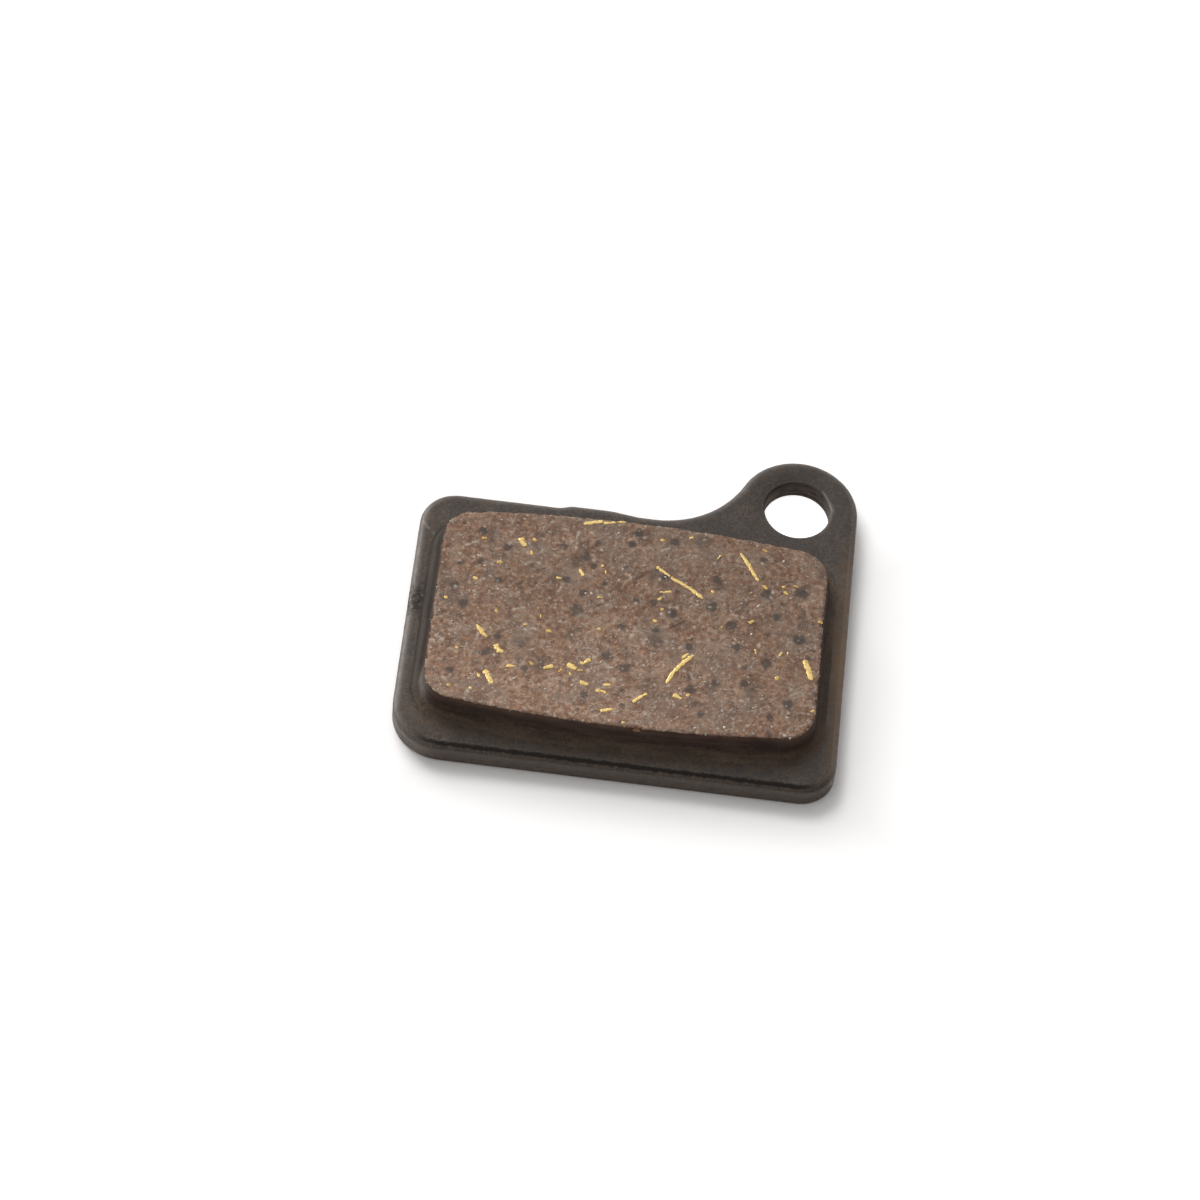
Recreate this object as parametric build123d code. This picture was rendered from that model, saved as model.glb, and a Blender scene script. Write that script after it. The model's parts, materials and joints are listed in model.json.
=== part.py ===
from build123d import *
import os
from math import atan2, degrees, sqrt

# A disc brake pad: a friction block moulded and bonded onto a stamped steel backing plate.
# The pad lies on its back. The origin is on the back face under the middle of the block,
# +X runs along the pad to the side with the eyelet, +Y towards the eyelet and +Z out of the face.
# Sizes are in millimetres.

# Backing plate
plate_width = 30.0
plate_height = 20.9         # the body, without the eyelet
plate_thickness = 1.6
corner_low = 3.5            # lower corner away from the eyelet
corner_high = 2.5           # upper corner away from the eyelet
corner_under_eye = 2.4      # lower corner on the eyelet's side
edge_roll = 0.42            # rounded edge that blanking leaves on the friction side
edge_break = 0.1            # broken edge on the back

# Eyelet for the retaining pin
eye_bore = 4.6
eye_wall = 1.9              # ring of steel round the bore
eye_rise = 2.1              # bore centre above the body's top edge
eye_blend = 6.6             # hollow between the ring and the top edge
eye_lip = 0.15              # rounded mouth of the bore

# Low locating land on the top edge, beside the eyelet's hollow
land_gap = 0.55             # straight edge between the hollow and the land
land_fall = 2.9             # long slope on the eyelet's side
land_flat = 2.15
land_climb = 1.05           # short slope on the other side
land_rise = 0.26

# Friction block, measured on its ground face
block_width = 26.3
block_height = 16.7         # at mid-width
block_bulge = 0.9           # how far the long edges bow out
block_corner = 2.1
block_thickness = 2.0
block_draft = 11.0          # degrees, walls spreading towards the plate

# Places that follow from the sizes
left = -plate_width / 2
right = plate_width / 2
low = -plate_height / 2
high = plate_height / 2
eye_radius = eye_bore / 2 + eye_wall
eye_x = right - eye_radius
eye_y = high + eye_rise
hollow_y = high + eye_blend
hollow_x = eye_x - sqrt((eye_radius + eye_blend) ** 2 - (hollow_y - eye_y) ** 2)
hollow_angle = degrees(atan2(hollow_y - eye_y, hollow_x - eye_x))
face_z = plate_thickness + block_thickness


def ease(start, end):
    """Two equal arcs that leave start and reach end level, so a step has no corner."""
    halfway = ((start[0] + end[0]) / 2, (start[1] + end[1]) / 2)
    TangentArc(start, halfway, tangent=(-1, 0))
    TangentArc(end, halfway, tangent=(1, 0))


def plate_outline():
    """The blank's outline, drawn anticlockwise from the lower edge."""
    land_y = high + land_rise
    fall_x = hollow_x - land_gap
    flat_x = fall_x - land_fall
    climb_x = flat_x - land_flat
    foot_x = climb_x - land_climb
    with BuildSketch() as outline:
        with BuildLine():
            Line((left + corner_low, low), (right - corner_under_eye, low))
            CenterArc((right - corner_under_eye, low + corner_under_eye), corner_under_eye, 270, 90)
            Line((right, low + corner_under_eye), (right, eye_y))
            CenterArc((eye_x, eye_y), eye_radius, 0, hollow_angle)
            CenterArc((hollow_x, hollow_y), eye_blend, 270, hollow_angle - 90)
            Line((hollow_x, high), (fall_x, high))
            ease((fall_x, high), (flat_x, land_y))
            Line((flat_x, land_y), (climb_x, land_y))
            ease((climb_x, land_y), (foot_x, high))
            Line((foot_x, high), (left + corner_high, high))
            CenterArc((left + corner_high, high - corner_high), corner_high, 90, 90)
            Line((left, high - corner_high), (left, low + corner_low))
            CenterArc((left + corner_low, low + corner_low), corner_low, 180, 90)
        make_face()
    return outline.sketch


def backing_plate():
    """Blanked plate: rolled edge on the friction side, pierced eyelet, broken edges on the back."""
    with BuildPart() as plate:
        add(plate_outline())
        extrude(amount=plate_thickness)
        fillet(plate.faces().sort_by(Axis.Z)[-1].outer_wire().edges(), edge_roll)
        with BuildSketch():
            with Locations((eye_x, eye_y)):
                Circle(eye_bore / 2)
        extrude(amount=plate_thickness, mode=Mode.SUBTRACT)
        fillet(plate.faces().sort_by(Axis.Z)[-1].inner_wires()[0].edges(), eye_lip)
        chamfer(plate.faces().sort_by(Axis.Z)[0].edges(), edge_break)
    return plate.part


def friction_block():
    """Moulded block: bowed long edges, rounded corners and walls that spread down to the plate."""
    half_width = block_width / 2
    half_height = block_height / 2
    end_height = half_height - block_bulge
    with BuildPart() as block:
        with BuildSketch(Plane.XY.offset(face_z)) as face:
            with BuildLine():
                Line((-half_width, -end_height), (-half_width, end_height))
                ThreePointArc((-half_width, end_height), (0, half_height), (half_width, end_height))
                Line((half_width, end_height), (half_width, -end_height))
                ThreePointArc((half_width, -end_height), (0, -half_height), (-half_width, -end_height))
            make_face()
            fillet(face.vertices(), block_corner)
        extrude(amount=-block_thickness, taper=-block_draft)
    return block.part


os.makedirs("parts", exist_ok=True)
export_step(backing_plate(), "parts/backing_plate.step")
export_step(friction_block(), "parts/friction_block.step")
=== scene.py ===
import json
import math
import random
from functools import partial, reduce

import bpy
import numpy as np
from bpy.props import FloatProperty, FloatVectorProperty, IntProperty, PointerProperty
from bpy.types import Operator, Panel, PropertyGroup
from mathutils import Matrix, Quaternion, Vector
from mathutils.geometry import delaunay_2d_cdt
from mathutils.kdtree import KDTree


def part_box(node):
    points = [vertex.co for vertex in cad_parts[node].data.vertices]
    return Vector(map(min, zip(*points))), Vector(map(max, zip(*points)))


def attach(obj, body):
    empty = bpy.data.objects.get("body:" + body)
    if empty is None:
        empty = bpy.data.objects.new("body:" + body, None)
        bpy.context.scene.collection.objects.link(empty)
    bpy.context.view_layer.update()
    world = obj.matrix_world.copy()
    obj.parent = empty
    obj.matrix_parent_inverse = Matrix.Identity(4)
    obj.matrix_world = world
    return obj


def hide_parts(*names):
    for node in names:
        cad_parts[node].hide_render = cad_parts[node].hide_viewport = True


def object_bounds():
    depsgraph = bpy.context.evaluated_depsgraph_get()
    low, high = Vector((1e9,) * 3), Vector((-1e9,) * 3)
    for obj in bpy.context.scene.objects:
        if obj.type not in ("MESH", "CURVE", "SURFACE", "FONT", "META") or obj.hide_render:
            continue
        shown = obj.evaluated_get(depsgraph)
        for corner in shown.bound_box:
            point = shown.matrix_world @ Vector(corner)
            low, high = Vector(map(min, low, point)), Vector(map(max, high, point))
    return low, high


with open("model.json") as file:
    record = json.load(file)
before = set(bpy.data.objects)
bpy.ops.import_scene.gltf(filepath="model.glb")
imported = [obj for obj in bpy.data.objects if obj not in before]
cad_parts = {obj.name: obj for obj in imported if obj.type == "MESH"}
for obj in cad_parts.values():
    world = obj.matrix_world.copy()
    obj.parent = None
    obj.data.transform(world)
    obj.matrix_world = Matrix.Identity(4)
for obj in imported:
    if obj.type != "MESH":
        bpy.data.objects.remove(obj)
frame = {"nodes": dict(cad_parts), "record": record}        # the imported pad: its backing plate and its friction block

bl_info = {
    "name": "Disc Brake Pad",
    "version": (1, 0, 0),
    "blender": (4, 5, 0),
    "location": "View3D > Sidebar > Brake Pad",
    "description": "Finishes a packed disc brake pad: coat, compound, brass slivers, grit and a stage",
    "category": "Object",
}

MM = 0.001
BODY = "root"
CAD_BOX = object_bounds()
PLATE_LOW, PLATE_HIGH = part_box("backing_plate")
BLOCK_LOW, BLOCK_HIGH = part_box("friction_block")
PLATE_Z = PLATE_HIGH.z
FACE_Z = BLOCK_HIGH.z

# How far off the face's mesh points a placed point may be and still lie on the face
FACE_SLACK = 0.12 * MM

# The photograph's frame, in which the places of marks and slivers below are read
PHOTO_SIDE = 1200
SENSOR = 36.0

# Brass slivers that stand out on the face: a width in millimetres, then the pixels along each one
LONG_SLIVERS = (
    (0.26, (584, 524), (594, 522.5), (603, 521.5)),
    (0.20, (604, 523), (616, 521)),
    (0.16, (617, 522), (626, 522.5)),
    (0.20, (656.5, 566.5), (663, 571.5), (670, 576.5)),
    (0.24, (671, 577.5), (683, 584.5), (693, 591), (703, 598.5)),
    (0.24, (741, 553.5), (749, 565.5), (758, 581)),
    (0.30, (667, 683), (673.5, 672.5), (681.5, 664.5), (693.5, 655)),
    (0.20, (681.5, 658.5), (689, 654)),
    (0.38, (804.5, 660), (808, 669), (811.5, 680)),
    (0.27, (477, 625), (481.5, 631), (486.5, 637)),
    (0.38, (484.5, 670), (488.5, 676.5), (492, 683.5)),
    (0.30, (496, 644), (497.5, 649)),
    (0.34, (497, 650), (503, 651.5)),
    (0.24, (506, 666), (515, 666)),
    (0.34, (543.5, 668), (553.5, 666)),
    (0.42, (567, 664), (576, 669)),
    (0.30, (581, 664), (590.5, 659.5)),
    (0.28, (580, 682), (588.5, 685)),
    (0.20, (604, 685), (611, 684.5)),
    (0.26, (596, 690), (606, 692.5)),
    (0.24, (600.5, 711), (612.5, 709)),
    (0.22, (632.5, 702), (640, 697.5), (647, 693.5)),
    (0.28, (674, 694.5), (681, 699)),
    (0.24, (580, 569), (583.5, 576)),
    (0.14, (660.5, 592.5), (671.5, 591.5)),
    (0.36, (521.5, 538), (522.5, 542), (525.5, 545.5)),
)
# Short bits of brass: the pixel at the middle of each
SHORT_SLIVERS = (
    (484.5, 538), (532, 553), (535, 540), (476, 578), (446, 597), (496.5, 611),
    (457, 647.5), (525, 624.5), (599, 628.5), (559, 578), (603, 566), (606, 572.5), (692, 538),
    (663, 540.5), (719, 557.5), (765, 551), (713, 592), (751.5, 592), (783.5, 587), (796, 586.5),
    (662.5, 609.5), (722, 627), (751.5, 622), (788.5, 653), (560.5, 670.5), (570, 674),
    (448.5, 685), (470.5, 688), (623, 722.5), (815.5, 711.5), (777.5, 678), (478.5, 675),
    (499.5, 562.5), (600, 597.5), (660.5, 598.5), (765.5, 587.5), (786, 593), (824, 623), (655, 621),
    (540.5, 616), (548.5, 631), (531, 663), (580, 670), (688, 695), (755.5, 651.5), (781, 654),
)
# Larger dark grains on the face: the pixel at the middle of each, and its radius in millimetres
DARK_GRAINS = (
    (586.5, 556.5, 0.52), (567, 579.5, 0.45), (636, 600, 0.44), (577, 609.5, 0.70), (675, 542.5, 0.46),
    (671, 613, 0.56), (653.5, 602.5, 0.42), (638, 533, 0.50), (632.5, 544, 0.40), (598, 543.5, 0.42),
    (593.5, 566, 0.36), (605.5, 584, 0.28), (583, 593, 0.40), (665.5, 578, 0.42), (717.5, 580, 0.54),
    (767.5, 594, 0.60), (802, 594, 0.62), (764, 560.5, 0.40), (731.5, 625, 0.62), (711, 606, 0.60),
    (776.5, 617.5, 0.38), (498, 635, 0.55), (486, 651.5, 0.50), (450.5, 669.5, 0.38), (524.5, 668.5, 0.40),
    (484, 531, 0.46), (508, 547, 0.40), (563.5, 546.5, 0.42), (480.5, 560.5, 0.38), (461.5, 563, 0.36),
    (498.5, 580, 0.40), (454.5, 584, 0.40), (463, 603, 0.55), (621.5, 627, 0.46), (654.5, 630, 0.42),
    (606, 655.5, 0.54), (624, 667.5, 0.58), (689, 647, 0.44), (584, 694.5, 0.40), (690, 689.5, 0.58),
    (737, 647.5, 0.48), (798.5, 640.5, 0.56), (767, 663.5, 0.52), (744.5, 683, 0.46), (716, 682.5, 0.42),
    (788, 704.5, 0.58), (770, 717, 0.42), (701, 714, 0.40),
)
# Pale fibres in the face: a width in millimetres, then the pixels along each one
PALE_FIBRES = (
    (0.13, (465, 545), (472, 543), (478.5, 540.3)),
    (0.17, (530.5, 628.3), (539, 629.3)),
    (0.15, (435.3, 635.3), (442.7, 638.6)),
    (0.11, (557, 593.5), (562.5, 584.5)),
    (0.11, (513, 609.3), (524.3, 607.4)),
    (0.13, (629.5, 574.7), (632, 580.8)),
    (0.13, (578.7, 531.8), (576.8, 538)),
    (0.12, (571, 538), (572, 544)),
    (0.12, (625.3, 607.4), (629.5, 603.7)),
    (0.12, (661.3, 550.5), (669.2, 548.1)),
    (0.12, (759.7, 643.5), (757, 650)),
    (0.12, (604, 662.6), (607.5, 666.5), (612, 667.5)),
    (0.13, (478.7, 632), (476.3, 638)),
    (0.13, (691, 674), (693, 679)),
)
# Dark cracks in the face: a width in millimetres, then the pixels along each one
FACE_CRACKS = (
    (0.16, (632.5, 580.5), (638, 579), (643.5, 576)),
    (0.14, (668, 629), (676, 626.5), (684.5, 622)),
    (0.12, (596, 607), (603, 604.5)),
    (0.12, (745, 607), (750, 601.5)),
    (0.12, (693.5, 703), (704.5, 704.5)),
)
# Crumbs along the face's edge: pixel, radius in millimetres, and shade from dark to white
EDGE_CRUMBS = (
    (426, 659.6, 0.085, 1.0), (464.5, 698, 0.13, 0.8), (462, 696.5, 0.09, 0.7), (501, 702.5, 0.13, 0.75),
    (505.5, 703.5, 0.10, 0.8), (437.5, 587, 0.14, 0.6), (450.5, 521, 0.13, 0.6), (448.5, 524.5, 0.10, 0.7),
    (471, 514, 0.11, 0.75), (461.5, 520, 0.12, 0.65), (432, 622, 0.10, 0.6), (583, 720.5, 0.11, 0.8),
    (590, 722, 0.08, 0.9), (744, 731, 0.14, 0.6), (706, 736, 0.09, 0.7), (790, 738, 0.10, 0.7),
)
# Pale flecks that stand out on the face, given as the crumbs are
FACE_FLECKS = (
    (485, 565.4, 0.15, 1.0), (525, 519, 0.12, 0.95), (448.7, 549, 0.12, 0.7), (475.5, 595, 0.13, 0.75),
    (469.7, 591.5, 0.12, 0.65), (462, 593, 0.11, 0.6), (489.5, 591, 0.14, 0.65), (492.5, 594, 0.11, 0.7),
    (510.5, 586, 0.13, 0.6), (499, 606, 0.10, 0.9), (619, 533, 0.14, 0.95), (574.5, 527, 0.13, 0.7),
    (619.5, 580, 0.12, 0.8), (697.8, 601.3, 0.13, 0.85), (684.6, 596, 0.14, 0.65), (790.8, 598.5, 0.13, 0.9),
    (741.8, 603.7, 0.14, 0.75), (726, 583, 0.11, 0.85), (533, 649.5, 0.12, 0.9), (467, 643, 0.12, 0.75),
    (494.5, 654.5, 0.11, 0.85), (468.5, 678.5, 0.14, 0.8), (545.5, 689, 0.16, 0.7), (655, 653.7, 0.12, 0.85),
    (640.5, 675, 0.17, 0.6), (623, 685.5, 0.12, 0.85), (679.6, 688.7, 0.16, 0.75), (700, 677.5, 0.13, 0.8),
    (743, 642, 0.13, 0.8), (708.3, 654, 0.16, 0.65), (777, 678, 0.13, 0.9), (772, 727, 0.13, 0.95),
    (787, 717.7, 0.13, 0.9), (753, 708, 0.14, 0.7),
)
# Pits in the coat on the rim: pixel, radius and depth in millimetres
COAT_PITS = (
    (421.5, 603.5, 0.20, 0.05), (420, 618.5, 0.14, 0.04), (421, 652.5, 0.12, 0.035), (418, 610, 0.13, 0.03),
    (413, 586, 0.15, 0.03), (418, 594, 0.17, 0.035), (422, 583, 0.12, 0.03), (409, 613, 0.12, 0.03),
)
# Rubbed marks on the coat, the last a painted highlight on the eyelet's lip: a width in millimetres, a strength, then
# the pixels along each one
RUBBED_MARKS_AND_HIGHLIGHT = (
    (0.10, 0.9, (422.5, 519.5), (425, 523.5), (428.5, 528)),
    (0.07, 0.6, (411.5, 590), (417, 597)),
    (0.07, 0.5, (420, 597.5), (424.5, 590.5)),
    (0.16, 1.0, (404.5, 598), (405.5, 606)),
    (0.20, 0.35, (433, 533), (436.5, 535.5)),
    (0.08, 0.5, (440.5, 741.5), (446, 740)),
    # Painted highlight along the eyelet's right lip
    (0.12, 0.8, (823, 492), (829, 501), (833, 512)),
)
# Directions on the plate: the side of the eyelet that gets painted shade, and the corner whose side wall gets a painted
# highlight
EYE_SHADE = (-0.64, 0.77)
LOW_CORNER = (-0.6, -0.8)
# Which way the pad's shadow falls on the floor, where the floor's lift is held low as painted shadow
SHADOW_SHIFT = (2.5 * MM, -1.0 * MM)
# The crusty patch on the rim, by a pixel
CRUST_MIDDLE = (418, 600)
CRUST_RADIUS = 1.5 * MM
# What was knocked off the block's wall: pixel and radius in millimetres, and how far under the face
WALL_CHIPS = ((636, 731.5, 0.42), (612, 729, 0.20))
CHIP_FALL = 0.2 * MM
# The wall round the block's corner that gets a painted highlight, as directions from the corner's middle
CORNER_HIGHLIGHT_FROM = math.radians(168)
CORNER_HIGHLIGHT_TO = math.radians(236)
CORNER_HIGHLIGHT_FADE = math.radians(24)
# How far that middle is moved up, in corner radii, how strong the painted highlight is and how far down it starts
CORNER_HIGHLIGHT_SHIFT = 0.2
WALL_HIGHLIGHT = 0.75
WALL_TOP = 0.05 * MM

# Where the coat differs: the millimetres right or up at which that starts, and over which it grows
EAR_ACROSS = (2.0, 3.0)
EAR_UP = (7.5, 1.5)
RIGHT_RIM = (13.6, 1.1)
# The same, counted to the left and downwards
LEFT_RIM = (12.6, 1.0)
LEFT_LOW = (-2.0, 6.0)
FRONT_RIM = (7.5, 1.0)
# The film on the right rim, in millimetres: its lower end, its upper end, its fade and its middle's reach
RIGHT_ENDS = (-10.0, 11.0, 3.0)
RIGHT_MIDDLE = 5.0
# How squarely an edge faces a way before it is marked, and the rest over which the mark grows
FACING = (0.8, 0.2)
# How far in from the right edge its painted highlight lies, and how far that reaches to each side
RIGHT_EDGE = (0.1 * MM, 0.3 * MM)
# How far film and dust reach from the block's foot, and the painted shade from the bore
FILM_REACH = 1.5 * MM
DUST_REACH = 0.9 * MM
SHADE_REACH = 2.2 * MM
# How dark that painted shade is on all sides, and how much the side adds or takes
SHADE_ALL_ROUND, SHADE_SWING = 0.3, 0.7
# How strong the differences are
# Rubbed coat and painted highlights: the corner and the right edge are painted highlights, the left a paler lower left
# rim
RUB_AND_HIGHLIGHT = {"corner": 0.7, "right edge": 0.3, "left": 0.06}
FILM = {"right": 0.45, "right middle": 0.55, "foot": 0.45, "bore": 0.6, "left": 0.06}
DUST = {"foot": 0.45, "crust": 0.45}
# eyelet: painted shade round the eyelet; ear: a darker coat on the ear
SHADE_AND_DARK_COAT = {"eyelet": 0.6, "ear": 0.16}
# How far the soft edge of a pit or a dark grain reaches, in radii
PIT_SPREAD = 1.4
GRAIN_SPREAD = 1.25

# Rings of points down the rolled edge, the plate's wall, the eyelet's mouth and its bore
ROLL_RINGS, WALL_RINGS, LIP_RINGS, BORE_RINGS = 11, 9, 5, 11
# How far off the bore's radius its own points may be, and how far down the edge they count as
BORE_SLACK = 0.03 * MM
BORE_EDGE = -1.0 * MM
# The plate's points are close outside one share of the block's foot, and coarse inside another
SHOWN_FROM, HIDDEN_TO, COARSE = 0.97, 0.94, 5.0
# What share of a step those points keep off the loops round them
CLEAR = 0.6
# Rows of a grid of even triangles, in steps, and how often a loop is smoothed
ROW_PITCH = 0.866
SMOOTHINGS = 6
# The least number of points round a corner of the block
CORNER_POINTS = 4
# The block's foot: the length of its bend in radii, then its lip in mesh steps out and sinks down
FOOT_ARC = 1.4
FOOT_LIP = ((1.0, 0.4), (1.5, 2.0), (1.5, 6.0))
# Points to each side that tell which way the block's wall faces, and how fast a wall turns to the lee
CHORD_SPAN = 4
LEE_SLOPE = 1.2
# Heights and places nearer than this are the same, and the digits kept of a place
SAME = 1e-6
DIGITS = 7

# Least and most that is drawn for a sliver: dullness, and shares of a short one's length and width
LONG_DULL = (0.0, 0.25)
SHORT_DULL = (0.1, 0.8)
SHORT_HALF = (0.3, 0.7)
SHORT_WIDTH = (0.6, 1.2)
# How far the slivers' points keep from the face's edge
SLIVER_INSET = 0.2 * MM

# Kinds of grain in the compound: cells to a millimetre, share of cells, size, softness, raggedness
GRAIN_INPUTS = ("Scale", "Share", "Size", "Softness", "Raggedness")
GRAIN_KINDS = {
    "soft graphite": (0.70, 0.45, 0.66, 0.85, 0.7),
    "graphite": (1.4, 0.26, 0.44, 0.65, 0.7),
    "small graphite": (2.8, 0.28, 0.42, 0.6, 0.7),
    "mineral": (2.2, 0.30, 0.40, 0.6, 0.7),
    "dust": (4.4, 0.30, 0.42, 0.55, 0.7),
    "rust": (1.8, 0.12, 0.40, 0.6, 0.7),
}
# How they lie over each other: the colour's name and how much of it shows
GRAIN_LAYERS = (
    ("soft graphite", "graphite", 0.48),
    ("placed graphite", "graphite", 0.76),
    ("graphite", "graphite", 0.60),
    ("small graphite", "graphite", 0.46),
    ("mineral", "mineral", 0.50),
    ("dust", "mineral", 0.40),
    ("rust", "rust", 0.45),
)
# Specks that lie on the coat everywhere, and dust where the mesh carries it, given as the grains are
COAT_SPECKS = (3.0, 0.16, 0.24, 0.6, 0.3)
COAT_DUST = (4.2, 0.5, 0.38, 0.6, 0.4)
# Pale strokes in the resin: turn in degrees, length and width in millimetres, seed and strength
FIBRE_STROKES = ((36, 0.40, 0.12, 1.0, 0.40), (-18, 0.36, 0.11, 5.0, 0.36), (80, 0.36, 0.12, 8.0, 0.36))
# Gloss of the clear top of the coat
COAT_ROUGHNESS = 0.43

# The gap between pad and floor, and the nearest that the camera shows
FLOOR_GAP = 0.01 * MM
CLIP_START = 0.01
# The millimetres past the bore's radius where the floor's painted light is none, and where it is full
EYELET_FADE = (0.4, 0.2)
WHITE = (1.0, 1.0, 1.0, 1.0)


# Settings that a user would change

def length_setting(name, description, default):
    """A length."""
    return FloatProperty(
        name=name, description=description, subtype="DISTANCE", unit="LENGTH", default=default)


def place_setting(name, description, default):
    """A place in the pad's frame."""
    return FloatVectorProperty(
        name=name, description=description, size=3, subtype="TRANSLATION", unit="LENGTH", default=default)


def sides_setting(name, description, default):
    """Two lengths."""
    return FloatVectorProperty(
        name=name, description=description, size=2, subtype="XYZ", unit="LENGTH", default=default)


def colour_setting(name, description, default):
    """A colour."""
    return FloatVectorProperty(name=name, description=description, size=3, subtype="COLOR", default=default)


def share_setting(name, description, default):
    """A share of the whole."""
    return FloatProperty(name=name, description=description, subtype="FACTOR", default=default)


def power_setting(name, description, default):
    """A lamp's power."""
    return FloatProperty(name=name, description=description, subtype="POWER", unit="POWER", default=default)


class PadStageSettings(PropertyGroup):
    """Camera, light and floor."""

    eye: place_setting(
        "Camera Place", "Where the camera stands", (-2.434 * MM, -171.002 * MM, 254.106 * MM))
    aim: place_setting("Camera Aim", "Point in the middle of the picture", (-2.048 * MM, 4.06 * MM, 0.0))
    roll: FloatProperty(
        name="Camera Roll", description="Turn of the camera about its line of sight",
        subtype="ANGLE", default=math.radians(7.10))
    lens: FloatProperty(
        name="Lens", description="Focal length of the camera", subtype="DISTANCE_CAMERA",
        unit="CAMERA", default=135.0)
    key_place: place_setting("Key Light Place", "Where the large soft light hangs", (-0.66, 1.05, 0.92))
    key_size: length_setting("Key Light Size", "Side of the square soft light", 0.95)
    key_power: power_setting("Key Light Power", "Power of the soft light", 23.5)
    strip_place: place_setting("Strip Light Place", "Where the low strip light stands", (-1.2, 0.85, 0.42))
    strip_size: sides_setting("Strip Light Size", "Width and height of the strip light", (1.2, 0.8))
    strip_power: power_setting("Strip Light Power", "Power of the strip light", 17.0)
    sky_level: share_setting("Sky Level", "Even light from all round", 0.74)
    flag_place: place_setting(
        "Flag Place", "Where the dark card stands behind the camera", (0.2, -0.9, 0.68))
    side_flag_place: place_setting(
        "Side Flag Place", "Where the dark card stands at the side", (0.9, -0.1, 0.5))
    flag_size: sides_setting("Flag Size", "Width and height of a dark card", (2.0, 1.15))
    flag_colour: colour_setting("Flag Colour", "Colour of the dark cards", (0.20, 0.19, 0.18))
    floor_size: length_setting("Floor Size", "Side of the floor", 6.0)
    floor_colour: colour_setting("Floor Colour", "Colour of the floor", (0.9, 0.885, 0.875))
    floor_glow: share_setting("Floor Lift", "What lifts the floor to white in the picture", 0.15)
    # Painted shadow: the lift is held low beside the pad, which darkens the pad's shadow there
    shadow_glow: share_setting("Shadow Lift", "What is left of that lift in the pad's shadow", 0.02)
    shadow_reach: sides_setting(
        "Shadow Reach", "From where to where off the block that lift sets in", (0.5 * MM, 6.0 * MM))
    # Painted light: this lift covers the shadow on the floor under the eyelet
    eyelet_glow: share_setting(
        "Eyelet Lift", "What lifts the floor to white where it shows through the eyelet", 0.7)


class PadCoatSettings(PropertyGroup):
    """Backing plate and the satin black coat on it and on the block's walls."""

    colour: colour_setting("Coat Colour", "Colour of the coat", (0.0125, 0.0085, 0.006))
    # Also used for painted fill light low on the plate's walls and on the block's walls in the lee of the key light
    thin_and_fill_colour: colour_setting("Thin Coat Colour", "Colour where the coat is thin", (0.07, 0.05, 0.037))
    film_colour: colour_setting(
        "Film Colour", "Colour of the brown dust rubbed into the coat", (0.158, 0.094, 0.048))
    # Also used for painted shade: the dark line along the front edge and the shade round the eyelet
    pit_and_shade_colour: colour_setting("Pit Colour", "Colour in the coat's pits", (0.012, 0.009, 0.007))
    dust_colour: colour_setting("Dust Colour", "Colour of the specks on the coat", (0.15, 0.122, 0.096))
    # Also used for painted highlights on corner walls, on the right edge and on the eyelet's lip
    rubbed_and_highlight_colour: colour_setting("Rubbed Colour", "Colour where the coat is rubbed", (0.21, 0.18, 0.155))
    mesh_step: length_setting("Plate Mesh Step", "Spacing of the plate's mesh where it shows", 0.13 * MM)
    roll_width: length_setting(
        "Edge Roll Width", "How far the rolled edge reaches in from the outline", 0.66 * MM)
    roll_height: length_setting("Edge Roll Height", "How far the rolled edge falls", 0.44 * MM)
    edge_break: length_setting("Edge Break", "Broken edges on the back", 0.1 * MM)
    eye_lip: length_setting("Eyelet Lip", "Rounded mouth of the eyelet", 0.15 * MM)
    eye_sag: length_setting(
        "Eyelet Sag", "How far piercing drew the plate down round the eyelet", 0.08 * MM)
    eye_sag_width: length_setting("Eyelet Sag Width", "How far that reaches from the bore", 1.3 * MM)
    peel: length_setting("Peel", "Waviness of the coat", 0.016 * MM)
    burr: length_setting("Burr", "Roughness of the blanked edge under the coat", 0.05 * MM)
    crust: length_setting("Crust", "Height of the crusty patch on the rim", 0.12 * MM)
    seed: IntProperty(name="Coat Seed", description="Seed of the coat's relief", default=9)


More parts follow.
